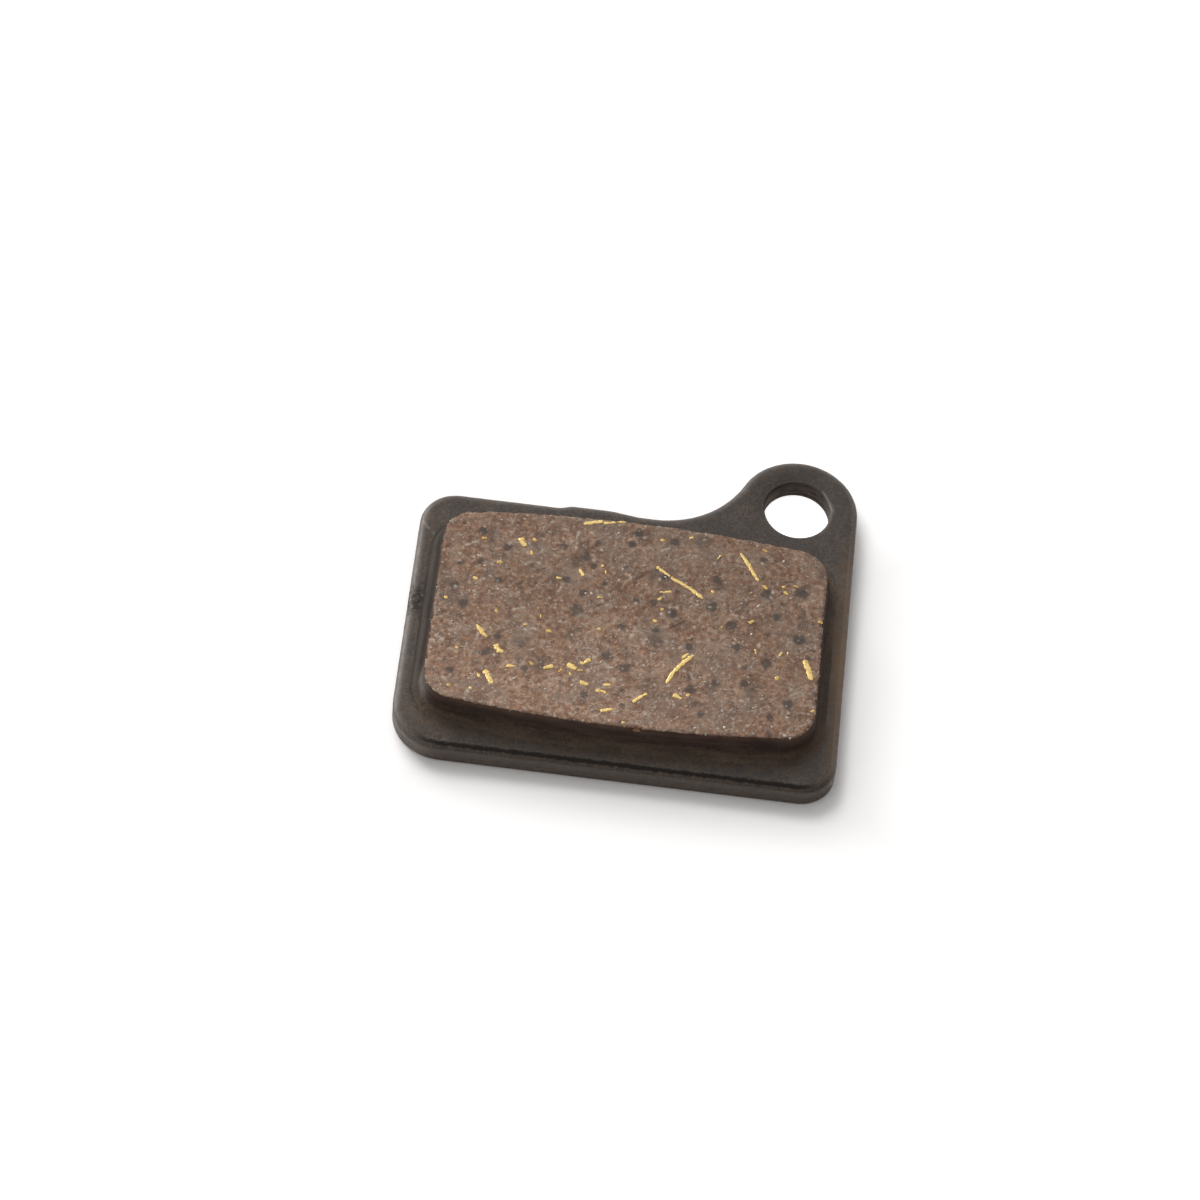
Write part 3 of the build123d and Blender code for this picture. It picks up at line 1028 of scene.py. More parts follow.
def level_outline(node, level):
    """The corners of a solid's flat face at a level, anticlockwise round its middle."""
    at_level = (v.co for v in node.data.vertices if abs(v.co.z - level) < SAME)
    flat = {(round(at.x, DIGITS), round(at.y, DIGITS)) for at in at_level}
    return np.array(sorted(flat, key=lambda p: math.atan2(p[1], p[0])))


def even_loop(loop, step):
    """A closed loop walked anticlockwise in even steps and smoothed, and its outward directions."""
    after = np.roll(loop, -1, 0)
    if (loop[:, 0] * after[:, 1] - loop[:, 1] * after[:, 0]).sum() < 0:
        loop = loop[::-1]
    closed = np.vstack([loop, loop[:1]])
    walked = np.concatenate([[0.0], np.cumsum(np.linalg.norm(np.diff(closed, axis=0), axis=1))])
    stops = np.linspace(0.0, walked[-1], round(walked[-1] / step), endpoint=False)
    even = np.stack([np.interp(stops, walked, closed[:, k]) for k in (0, 1)], 1)
    for _ in range(SMOOTHINGS):
        even = (np.roll(even, 1, 0) + 2.0 * even + np.roll(even, -1, 0)) / 4.0
    return even, outward_of(even, 1)


def outward_of(loop, span):
    """Which way an anticlockwise loop faces at each point, from the points a span to each side."""
    chord = np.roll(loop, -span, 0) - np.roll(loop, span, 0)
    outward = np.stack([chord[:, 1], -chord[:, 0]], 1)
    return outward / np.linalg.norm(outward, axis=1)[:, None]


def near_loop(points, loop):
    """How far each point is from a loop's points."""
    tree = KDTree(len(loop))
    for index, point in enumerate(loop):
        tree.insert((point[0], point[1], 0.0), index)
    tree.balance()
    return np.array([tree.find((point[0], point[1], 0.0))[2] for point in points])


def within(points, loop):
    """Whether each point is inside a loop."""
    x, y = points[:, 0], points[:, 1]
    odd = np.zeros(len(points), bool)
    for (ax, ay), (bx, by) in zip(loop, np.roll(loop, -1, 0)):
        if ay != by:
            odd ^= ((ay > y) != (by > y)) & (x < (bx - ax) * (y - ay) / (by - ay) + ax)
    return odd


def scatter_grid(low, high, step):
    """Staggered rows of points over a rectangle."""
    rows = []
    for row, y in enumerate(np.arange(low[1], high[1], step * ROW_PITCH)):
        x = np.arange(low[0] + (row % 2) * step / 2, high[0], step)
        rows.append(np.stack([x, np.full(len(x), y)], 1))
    return np.vstack(rows)


def fill_flat(outer, hole, extra):
    """Triangles between two loops and through extra points, as numbers counted in that order."""
    spots = np.vstack([outer, hole, extra]) / MM
    many, few = len(outer), len(hole)
    edges = [(k, (k + 1) % many) for k in range(many)]
    edges += [(many + k, many + (k + 1) % few) for k in range(few)]
    made, _, faces, origin, _, _ = delaunay_2d_cdt([Vector(p) for p in spots], edges, [], 1, SAME)
    if len(made) != len(spots):
        raise RuntimeError("the plate's flat did not fill cleanly")
    number = np.array([found[0] for found in origin])
    corners = number[np.array(faces)]
    middle = spots[many:many + few].mean(0)
    reach = np.linalg.norm(spots[many:many + few] - middle, axis=1).mean()
    solid = np.linalg.norm(spots[corners].mean(1) - middle, axis=1) > reach
    corners = corners[solid]
    a, b, c = (spots[corners[:, k]] for k in range(3))
    turned = (b - a)[:, 0] * (c - a)[:, 1] - (b - a)[:, 1] * (c - a)[:, 0] < 0
    corners[turned] = corners[turned][:, ::-1]
    return corners


def ring_faces(upper, lower):
    """Quads between two anticlockwise loops of point numbers, facing outwards."""
    return np.stack([upper, lower, np.roll(lower, -1), np.roll(upper, -1)], 1).tolist()


# Backing plate

def rounded_rings(wide, tall, count):
    """Insets and levels down a rounded edge, from the plate's top on."""
    turns = np.linspace(0.0, math.pi / 2, count)[:-1]
    return [(wide * (1 - math.sin(t)), PLATE_Z - tall * (1 - math.cos(t))) for t in turns]


def wall_rings(start, cut, count):
    """Insets and levels down a wall and over the broken edge on the back."""
    levels = np.linspace(start, PLATE_LOW.z + cut, count)
    return [(0.0, level) for level in levels] + [(cut, PLATE_LOW.z)]


def flat_points(rim, top, mouth, foot, step):
    """Points over the plate's top, few of them under the block."""
    low, high = rim.min(0), rim.max(0)
    shown = scatter_grid(low, high, step)
    shown = shown[~within(shown, foot * SHOWN_FROM)]
    hidden = scatter_grid(low, high, COARSE * step)
    hidden = hidden[within(hidden, foot * HIDDEN_TO)]
    flat = np.vstack([shown, hidden])
    flat = flat[within(flat, top) & ~within(flat, mouth)]
    return flat[(near_loop(flat, top) > CLEAR * step) & (near_loop(flat, mouth) > CLEAR * step)]


def plate_mesh(node, foot, settings, stage):
    """The plate: flats in small triangles, its rolled edge, its walls and its eyelet in rings."""
    tall, cut, lip = settings.roll_height, settings.edge_break, settings.eye_lip
    outline, hole = level_loops(node, PLATE_LOW.z + cut)
    rim, outward = even_loop(outline, settings.mesh_step)
    bore, bore_outward = even_loop(hole, settings.mesh_step)
    rim_rings = rounded_rings(settings.roll_width, tall, ROLL_RINGS)
    rim_rings += wall_rings(PLATE_Z - tall, cut, WALL_RINGS)
    bore_rings = rounded_rings(lip, lip, LIP_RINGS) + wall_rings(PLATE_Z - lip, cut, BORE_RINGS)

    points, edge, facing, numbers = [], [], [], []
    for loop, away, rings, side in ((rim, outward, rim_rings, -1.0), (bore, bore_outward, bore_rings, 1.0)):
        for inset, level in rings:
            ring = loop + away * inset * side
            numbers.append(sum(len(p) for p in points) + np.arange(len(ring)))
            points.append(np.column_stack([ring, np.full(len(ring), level)]))
            drop = inset if inset > 0 else level - (PLATE_Z - tall)
            edge.append(np.full(len(ring), drop if side < 0 else BORE_EDGE))
            facing.append(away * (side < 0))
    rim_numbers, bore_numbers = numbers[:len(rim_rings)], numbers[len(rim_rings):]
    top, mouth = points[0][:, :2], points[len(rim_rings)][:, :2]
    flat = flat_points(rim, top, mouth, foot, settings.mesh_step)
    start = sum(len(p) for p in points)
    points.append(np.column_stack([flat, np.full(len(flat), PLATE_Z)]))
    edge.append(near_loop(flat, rim))
    facing.append(np.zeros((len(flat), 2)))

    top_numbers = np.concatenate([rim_numbers[0], bore_numbers[0], start + np.arange(len(flat))])
    faces = top_numbers[fill_flat(top, mouth, flat)].tolist()
    for upper, lower in zip(rim_numbers, rim_numbers[1:]):
        faces += ring_faces(upper, lower)
    for upper, lower in zip(bore_numbers, bore_numbers[1:]):
        faces += ring_faces(lower, upper)
    under = np.concatenate([rim_numbers[-1], bore_numbers[-1]])
    back = fill_flat(points[len(rim_rings) - 1][:, :2], points[-2][:, :2], np.empty((0, 2)))
    smooth_faces = len(faces)
    faces += under[back][:, ::-1].tolist()

    points, edge, facing = np.vstack(points), np.concatenate(edge), np.vstack(facing)
    on_top = points[:, 2] > PLATE_Z - tall
    in_bore, bore_film, shade = sink_eyelet(points, bore, on_top, settings)
    pits = press_pits(points, on_top, stage)
    marks = coat_marks(points, edge, facing, foot, on_top, stage)
    marks["film"] += bore_film
    marks["pitted"] = np.maximum(shade, pits)
    marks["bore"] = in_bore
    return new_mesh("satin_coated_plate", points, faces, marks, smooth_faces)


def sink_eyelet(points, bore, on_top, settings):
    """Draws the plate down round the eyelet: its bore, the film in it and the painted shade beside it."""
    eye = bore.mean(0)
    from_eye = points[:, :2] - eye
    from_bore = np.linalg.norm(from_eye, axis=1) - np.linalg.norm(bore - eye, axis=1).mean()
    foot = PLATE_LOW.z + settings.edge_break
    height = fade(points[:, 2], foot, PLATE_Z - foot)
    points[:, 2] -= settings.eye_sag * near(from_bore, settings.eye_sag_width) ** 2 * height
    in_bore = from_bore < BORE_SLACK
    heading = from_eye @ np.array(EYE_SHADE) / np.linalg.norm(from_eye, axis=1)
    turned = np.clip(SHADE_ALL_ROUND + SHADE_SWING * heading, 0.0, 1.0)
    shade = SHADE_AND_DARK_COAT["eyelet"] * near(from_bore, SHADE_REACH) * turned * on_top
    return in_bore, FILM["bore"] * in_bore * (1.0 - height), shade


def press_pits(points, on_top, stage):
    """Presses the pits into the coat on the rim, and marks them and the ear's darker coat."""
    pitted = SHADE_AND_DARK_COAT["ear"] * fade(points[:, 1] / MM, *EAR_UP) * fade(points[:, 0] / MM, *EAR_ACROSS)
    for x, y, radius, depth in COAT_PITS:
        dent = soft_spot(points, shown_at(stage, (x, y), PLATE_Z), radius * MM * PIT_SPREAD) * on_top
        pitted = np.maximum(pitted, dent)
        points[:, 2] -= dent * depth * MM
    return pitted


def coat_marks(points, edge, facing, foot, on_top, stage):
    """Where the plate's coat is rubbed or painted with highlights, crusty, filmed over or dusty, for each point."""
    across, up = points[:, 0] / MM, points[:, 1] / MM
    from_foot = near_loop(points, foot)
    rubbed = np.zeros(len(points))
    for width, strength, *pixels in RUBBED_MARKS_AND_HIGHLIGHT:
        path = [shown_at(stage, pixel, PLATE_Z) for pixel in pixels]
        rubbed = np.maximum(rubbed, soft_line(points, path, width * MM) * strength)
    crust = soft_spot(points, shown_at(stage, CRUST_MIDDLE, PLATE_Z), CRUST_RADIUS) * on_top

    left = fade(-across, *LEFT_RIM) * on_top
    ends_low, ends_high, ends_fade = RIGHT_ENDS
    right = fade(across, *RIGHT_RIM) * fade(np.minimum(ends_high - up, up - ends_low), 0.0, ends_fade)
    front = fade(-up, *FRONT_RIM)
    # Painted highlights on the side wall at the lower-left corner and along the right edge.
    corner = fade(facing @ np.array(LOW_CORNER), *FACING) * (edge < 0.0)
    middle, reach = RIGHT_EDGE
    right_edge = fade(facing[:, 0], *FACING) * (np.abs(edge - middle) < reach)

    rubbed = rubbed * on_top + RUB_AND_HIGHLIGHT["corner"] * corner + RUB_AND_HIGHLIGHT["right edge"] * right_edge
    rubbed += RUB_AND_HIGHLIGHT["left"] * left * fade(-up, *LEFT_LOW)
    film = right * (FILM["right"] + FILM["right middle"] * near(np.abs(up), RIGHT_MIDDLE))
    film = np.maximum(film, FILM["foot"] * near(from_foot, FILM_REACH) * front) * on_top
    dust = DUST["foot"] * near(from_foot, DUST_REACH) * front * on_top + DUST["crust"] * crust
    return {"edge_mm": edge / MM, "rubbed": rubbed, "crust": crust, "film": film + FILM["left"] * left,
            "foot_mm": from_foot / MM, "front": fade(-facing[:, 1], *FACING), "dust": dust}


def make_coat_relief_tree():
    """Geometry tree: the coat's waviness, a crusty patch and a burr along the blanked edge."""
    graph, given, out = new_geometry_tree("Coat Relief", "Peel", "Burr", "Crust")
    place = graph.position()
    off_back = graph.ease(graph.split(place)[2], 0.1 * MM, 0.3 * MM)
    place = graph.scaled(place, 1.0 / MM)
    edge = graph.attribute("edge_mm")
    peel = graph.ripple(place, 1.7, 3.0, 0.6, given["Seed"])
    flaky = graph.ripple(place, 2.6, 3.0, 0.65, given["Seed"])
    torn = graph.ripple(place, 1.9, 4.0, 0.7, graph.plus(given["Seed"], 5.0))
    at_edge = graph.times(graph.ease(edge, -0.35, -0.05), graph.ease(edge, 0.28, 0.05))
    rise = graph.plus(
        graph.times(peel, given["Peel"]),
        graph.times(flaky, given["Crust"], graph.attribute("crust")),
        graph.times(torn, given["Burr"], at_edge))
    normal = graph.node("GeometryNodeInputNormal").outputs[0]
    offset = graph.scaled(normal, graph.times(rise, off_back))
    return close_tree(graph, given, out, graph.moved(given["Geometry"], offset))


# Friction block

def face_grid(face, reach, side, corner, step):
    """The face's points in columns and rows."""
    turn = np.linspace(0.0, math.pi / 2, max(CORNER_POINTS, round(corner * math.pi / 2 / step)))
    bend = reach - corner * (1 - np.cos(turn))
    middle = np.linspace(-bend[-1], bend[-1], round(2 * bend[-1] / step) + 1)
    columns = np.concatenate([-bend, middle[1:-1], bend[::-1]])
    upper = face[face[:, 1] >= side - SAME / 10]
    upper = upper[np.argsort(upper[:, 0])]
    half_height = np.interp(columns, upper[:, 0], upper[:, 1])
    rows = np.linspace(-1.0, 1.0, round(2 * half_height.max() / step) + 1)
    grid = np.empty((len(columns), len(rows), 3))
    grid[..., 0] = columns[:, None]
    grid[..., 1] = half_height[:, None] * rows[None, :]
    grid[..., 2] = FACE_Z
    return grid


def wall_profile(spread, settings):
    """How far out and how far down each ring of the walls lies, to a lip let into the plate."""
    step, hollow = settings.mesh_step, settings.foot_radius
    drop = FACE_Z - BLOCK_LOW.z
    draft = math.atan2(spread, drop)
    straight = drop - hollow * (1 - math.sin(draft))
    profile = [(v * math.tan(draft), v) for v in np.linspace(0.0, straight, round(straight / step) + 1)[1:]]
    for bent in np.linspace(draft, math.pi / 2, round(hollow * FOOT_ARC / step) + 1)[1:]:
        profile.append((straight * math.tan(draft) + hollow * (math.cos(draft) - math.cos(bent)),
                        straight + hollow * (math.sin(bent) - math.sin(draft))))
    end = profile[-1][0]
    return profile + [(end + out * step, drop + down * settings.foot_sink) for out, down in FOOT_LIP]


def block_mesh(node, settings, stage):
    """The block as an even mesh: a face in rows and columns, walls in rings, and its foot closed."""
    face, foot = (level_outline(node, level) for level in (FACE_Z, BLOCK_LOW.z))
    reach = face[:, 0].max()
    side = face[face[:, 0] > reach - SAME, 1].max()
    corner = face[:, 1].max() - side
    grid = face_grid(face, reach, side, corner, settings.mesh_step)
    across, along = grid.shape[:2]
    number = np.arange(across * along).reshape(across, along)
    rim = np.concatenate([number[:-1, 0], number[-1, :-1], number[:0:-1, -1], number[0, :0:-1]])
    points = grid.reshape(-1, 3)
    loop = points[rim]
    outward = np.column_stack([outward_of(loop, CHORD_SPAN), np.zeros(len(loop))])
    profile = wall_profile(foot[:, 0].max() - reach, settings)
    walls = [loop + outward * spread + np.array([0.0, 0.0, -fall]) for spread, fall in profile]
    edge = np.concatenate([near_loop(points, loop)] + [np.full(len(loop), -fall) for _, fall in profile])
    # The walls in the lee of the key light, which the finish paints lighter and browner than those facing it: painted
    # light and shade.
    light = Vector(stage.key_place[:2]).normalized()
    lee = np.clip(0.5 - LEE_SLOPE * outward[:, :2] @ np.array(light), 0.0, 1.0)
    lee = np.concatenate([np.zeros(len(points))] + [lee] * len(profile))

    faces = [(number[i, j], number[i + 1, j], number[i + 1, j + 1], number[i, j + 1])
             for i in range(across - 1) for j in range(along - 1)]
    upper_ring = rim
    for ring in range(len(profile)):
        lower_ring = len(points) + ring * len(loop) + np.arange(len(loop))
        faces += ring_faces(upper_ring, lower_ring)
        upper_ring = lower_ring
    faces.append(tuple(upper_ring[::-1]))
    points = np.concatenate([points] + walls)

    # Painted highlight on the wall round the block's lower-left corner.
    heading = np.arctan2(
        points[:, 1] + side - CORNER_HIGHLIGHT_SHIFT * corner, points[:, 0] + reach - corner) % math.tau
    rubbed = fade(np.minimum(heading - CORNER_HIGHLIGHT_FROM, CORNER_HIGHLIGHT_TO - heading), 0.0, CORNER_HIGHLIGHT_FADE)
    marks = {"edge_mm": edge / MM, **compound_marks(points, edge, stage),
             "rubbed": WALL_HIGHLIGHT * rubbed * (edge < -WALL_TOP), "lee": lee}
    return new_mesh("friction_compound", points, faces, marks, len(faces))


def compound_marks(points, edge, stage):
    """Where the block has dark grains, cracks, fibres and chips, for each point."""
    graphite, chip = np.zeros(len(points)), np.zeros(len(points))
    for x, y, radius in DARK_GRAINS:
        spot = soft_spot(points, shown_at(stage, (x, y), FACE_Z), GRAIN_SPREAD * radius * MM)
        graphite = np.maximum(graphite, spot)
    for x, y, radius in WALL_CHIPS:
        middle = shown_at(stage, (x, y), FACE_Z - CHIP_FALL)
        beside = np.abs(points[:, 2] - middle.z) < radius * MM / 2
        chip = np.maximum(chip, soft_spot(points, middle, radius * MM) * beside)
    return {"graphite": graphite, "crack": face_lines(points, FACE_CRACKS, stage) * (edge > 0.0),
            "fibre": face_lines(points, PALE_FIBRES, stage) * (edge > 0.0), "chip": chip}


def make_relief_tree():
    """Geometry tree: grain and pits on the face, chips along its edge and uneven walls."""
    graph, given, out = new_geometry_tree(
        "Ground Relief", "Grain Relief", "Pit Depth", "Chip Reach", "Chip Depth", "Wall Relief")
    place = graph.scaled(graph.position(), 1.0 / MM)
    edge = graph.attribute("edge_mm")
    away = graph.times(graph.math("ABSOLUTE", edge), MM)
    at_face = graph.ease(edge, -0.02, 0.02)
    drop = (BLOCK_LOW.z - FACE_Z) / MM
    off_foot = graph.ease(edge, drop + 0.05, drop + 0.6)

    grain = graph.ripple(place, 3.6, 3.0, 0.6, given["Seed"])
    bent = graph.vector("ADD", place, graph.scaled(graph.swirl(place, 3.0), 0.25))
    from_cell, draw = graph.cells(bent, 1.15)
    pit = graph.ease(from_cell, graph.ease(draw[1], 0.0, 1.0, 0.14, 0.30), 0.05)
    pit = graph.times(pit, graph.math("LESS_THAN", draw[0], 0.3))
    on_top = graph.less(graph.times(grain, given["Grain Relief"]), graph.times(pit, given["Pit Depth"]))

    uneven = graph.ripple(place, 1.5, 4.0, 0.6, given["Seed"])
    uneven = graph.times(uneven, given["Wall Relief"], off_foot)
    crumble = graph.noise(place, 1.4, 4.0, 0.65, given["Seed"])
    reach = graph.times(given["Chip Reach"], graph.ease(crumble, 0.36, 0.72, 0.12, 1.0))
    chip = graph.times(
        graph.ease(away, reach, 0.0), given["Chip Depth"], graph.ease(crumble, 0.40, 0.66, 0.25, 1.0))
    knocked = graph.times(graph.attribute("chip"), given["Chip Depth"])

    rise = graph.less(graph.less(graph.between(at_face, uneven, on_top), chip), knocked)
    normal = graph.node("GeometryNodeInputNormal").outputs[0]
    return close_tree(graph, given, out, graph.moved(given["Geometry"], graph.scaled(normal, rise)))


# Slivers and grit

def make_sliver_tree():
    """Geometry tree: a flattened, blunt, ragged sliver of brass along each path."""
    graph, given, out = new_geometry_tree("Brass Slivers", "Stand", "Wander", "Face Level")
    paths = graph.node("GeometryNodeMeshToCurve", {0: given["Geometry"]}).outputs[0]
    paths = graph.node("GeometryNodeCurveSplineType", {0: paths}, spline_type="CATMULL_ROM").outputs[0]
    paths = graph.node("GeometryNodeResampleCurve", {0: paths, "Length": 0.05 * MM}, mode="LENGTH").outputs[0]
    place = graph.scaled(graph.position(), 1.0 / MM)
    stray = graph.vector("SUBTRACT", graph.swirl(place, 2.6, seed=given["Seed"]), (0.5, 0.5, 0.5))
    stray = graph.vector("MULTIPLY", stray, (1.0, 1.0, 0.0))
    strayed = graph.moved(paths, graph.scaled(stray, given["Wander"]))

    along = graph.node("GeometryNodeSplineParameter").outputs["Factor"]
    ends = graph.less(1.0, graph.math("ABSOLUTE", graph.math("MULTIPLY_ADD", along, 2.0, -1.0)))
    blunt = graph.ease(ends, -0.20, 0.20)
    torn = graph.ease(graph.noise(place, 5.5, 2.0, 0.6, given["Seed"]), 0.25, 0.75, 0.70, 1.35)
    radius = graph.times(graph.attribute("half_width"), blunt, torn)
    profile = graph.node("GeometryNodeCurvePrimitiveCircle", {"Resolution": 8, "Radius": 1.0}).outputs[0]
    body = graph.node("GeometryNodeCurveToMesh", {
        0: strayed, "Profile Curve": profile, "Scale": radius, "Fill Caps": True}).outputs[0]

    at = graph.split(graph.position())
    above = graph.math("DIVIDE", graph.less(at[2], given["Face Level"]), 0.10 * MM)
    above = graph.math("MINIMUM", graph.most(above, -1.0), 1.0)
    level = graph.math("MULTIPLY_ADD", above, given["Stand"], given["Face Level"])
    flat = graph.node("ShaderNodeCombineXYZ", {0: at[0], 1: at[1], 2: level}).outputs[0]
    ragged = graph.vector("SUBTRACT", graph.swirl(place, 4.5, seed=given["Seed"]), (0.5, 0.5, 0.5))
    ragged = graph.vector("MULTIPLY", ragged, (0.28 * MM, 0.28 * MM, 0.0))
    return close_tree(graph, given, out, graph.moved(body, ragged, flat))


def drawn_lot(graph, seed):
    """A number from 0 to 1, drawn for each point."""
    return graph.node("FunctionNodeRandomValue", {2: 0.0, 3: 1.0, "Seed": seed}).outputs[1]


def drawn_vector(graph, seed, low, high):
    """A vector between two others, drawn for each point."""
    inputs = {0: low, 1: high, "Seed": seed}
    return graph.node("FunctionNodeRandomValue", inputs, data_type="FLOAT_VECTOR").outputs[0]


def make_grit_tree():
    """Geometry tree: angular grains sunk in the face, thicker along its edge, and the placed crumbs."""
    graph, given, out = new_geometry_tree("Face Grit", "Density", "Size", "Stand", "Face Level", seed="Int")
    seed = given["Seed"]
    place = graph.scaled(graph.position(), 1.0 / MM)
    edge = graph.attribute("edge_mm")
    rim = graph.ease(graph.math("ABSOLUTE", edge), 0.45, 0.05, 0.0, 2.2)
    drift = graph.ease(graph.noise(place, 0.35, 3.0), 0.40, 0.65, 0.45, 1.5)
    chance = graph.times(graph.plus(drift, rim), graph.ease(edge, -0.05, -0.01))
    points = graph.node("GeometryNodeDistributePointsOnFaces", {
        "Mesh": given["Geometry"], "Density": graph.times(chance, given["Density"]),
        "Seed": seed}).outputs["Points"]
    size = graph.math("POWER", drawn_lot(graph, graph.plus(seed, 1)), 3.0)
    size = graph.ease(size, 0.0, 1.0, 0.55, 2.1)
    size = graph.times(size, graph.ease(edge, 0.0, 0.3, 0.65, 1.0), given["Size"])
    shade = graph.math("POWER", drawn_lot(graph, graph.plus(seed, 4)), 2.8)
    for name, value in (("size", size), ("shade", shade)):
        points = graph.node("GeometryNodeStoreNamedAttribute", {
            "Geometry": points, "Name": name, "Value": value}, domain="POINT").outputs[0]
    placed = graph.node("GeometryNodeSeparateGeometry", {
        0: given["Geometry"], 1: graph.math("GREATER_THAN", graph.attribute("size"), 0.0)}).outputs[0]
    placed = graph.node("GeometryNodeMeshToPoints", {0: placed}).outputs[0]
    both = graph.node("GeometryNodeJoinGeometry", {0: points})
    graph.feed(both.inputs[0], placed)

    grain = graph.node("GeometryNodeMeshIcoSphere", {"Radius": 1.0, "Subdivisions": 1}).outputs[0]
    turn = drawn_vector(graph, seed, (0.0, 0.0, 0.0), (math.tau, math.tau, math.tau))
    stretch = drawn_vector(graph, graph.plus(seed, 2), (0.6, 0.5, 0.4), (1.8, 1.1, 0.8))
    grains = graph.node("GeometryNodeInstanceOnPoints", {
        "Points": graph.moved(both.outputs[0], (0.0, 0.0, -0.05 * MM)), "Instance": grain,
        "Rotation": graph.node("FunctionNodeEulerToRotation", {0: turn}).outputs[0],
        "Scale": graph.scaled(stretch, graph.attribute("size"))}).outputs[0]
    whole = graph.node("GeometryNodeRealizeInstances", {0: grains}).outputs[0]
    above = graph.most(graph.less(graph.split(graph.position())[2], given["Face Level"]), 0.0)
    share = graph.math("DIVIDE", above, graph.plus(above, given["Stand"]))
    down = graph.node("ShaderNodeCombineXYZ", {2: graph.times(above, share, -1.0)}).outputs[0]
    return close_tree(graph, given, out, graph.moved(whole, down))


def face_finder(block, inset):
    """Finds the nearest point of the friction face that is an inset or more from its edge."""
    edge = np.empty(len(block.data.vertices), np.float32)
    block.data.attributes["edge_mm"].data.foreach_get("value", edge)
    inside = np.flatnonzero(edge * MM >= inset)
    finder = KDTree(len(inside))
    for index in inside:
        finder.insert(block.data.vertices[index].co, int(index))
    finder.balance()
    return finder


def on_face(finder, point):
    """A point of the face as it is, and one off the face moved to the nearest that is on it."""
    found, _, away = finder.find(point)
    return point if away < FACE_SLACK else Vector((found.x, found.y, FACE_Z))


def sliver_paths(block, stage, settings):
    """A mesh of loose edges along every sliver, each point with the sliver's half width and dullness."""
    draw = random.Random(settings.seed)
    finder = face_finder(block, SLIVER_INSET)
    paths = []
    for width, *pixels in LONG_SLIVERS:
        path = [on_face(finder, shown_at(stage, pixel, FACE_Z)) for pixel in pixels]
        paths.append((width * MM, draw.uniform(*LONG_DULL), path))
    for pixel in SHORT_SLIVERS:
        middle = on_face(finder, shown_at(stage, pixel, FACE_Z))
        angle = draw.uniform(0.0, math.pi)
        half = Vector((math.cos(angle), math.sin(angle), 0.0))
        half = half * settings.short_length * draw.uniform(*SHORT_HALF)
        width = settings.short_width * draw.uniform(*SHORT_WIDTH)
        paths.append((width, draw.uniform(*SHORT_DULL), [middle - half, middle + half]))
    points, edges, widths, dulls = [], [], [], []
    for width, dull, path in paths:
        start = len(points)
        points += path
        edges += [(k, k + 1) for k in range(start, len(points) - 1)]
        widths += [width / 2] * len(path)
        dulls += [dull] * len(path)
    mesh = bpy.data.meshes.new("brass_slivers")
    mesh.from_pydata(points, edges, [])
    carry(mesh, "half_width", widths)
    carry(mesh, "dull", dulls)
    return mesh


def grit_bed(block, stage):
    """The block's mesh again, with a loose point for each placed crumb."""
    mesh = block.data.copy()
    bed = len(mesh.vertices)
    finder = face_finder(block, 0.0)
    crumbs = EDGE_CRUMBS + FACE_FLECKS
    mesh.vertices.add(len(crumbs))
    carry(mesh, "size", np.zeros(len(mesh.vertices)))
    carry(mesh, "shade", np.zeros(len(mesh.vertices)))
    for index, (x, y, radius, shade) in enumerate(crumbs, bed):
        mesh.vertices[index].co = on_face(finder, shown_at(stage, (x, y), FACE_Z))
        mesh.attributes["size"].data[index].value = radius * MM
        mesh.attributes["shade"].data[index].value = shade
    mesh.update()
    return mesh


# Operators

def shared_group(name, context):
    """A shader group that more than one finish uses, made the first time it is asked for."""
    if name in bpy.data.node_groups:
        return bpy.data.node_groups[name]
    if name == "Grain Cells":
        return make_grain_cells()
    return make_satin_coat(context.scene.pad_coat, shared_group("Grain Cells", context))


def seen_directly(graph):
    """1 for what the camera, a reflection or glass shows, 0 for what only lights."""
    path = graph.node("ShaderNodeLightPath").outputs
    return graph.most(path["Is Camera Ray"], path["Is Glossy Ray"], path["Is Transmission Ray"])


def sheet_corners(wide, high):
    """The corners of a flat sheet about its middle."""
    return [Vector((x * wide / 2, y * high / 2, 0.0)) for x, y in ((-1, -1), (1, -1), (1, 1), (-1, 1))]


def new_sheet(name, corners, material):
    """A flat sheet of the stage."""
    mesh = bpy.data.meshes.new(name)
    mesh.from_pydata(corners, [], [(0, 1, 2, 3)])
    mesh.materials.append(material)
    return new_piece(name, mesh)


def stand(piece, place, turn):
    """Puts a camera or a light in its place, turned as it should be."""
    piece.location = place
    piece.rotation_mode = "QUATERNION"
    piece.rotation_quaternion = turn


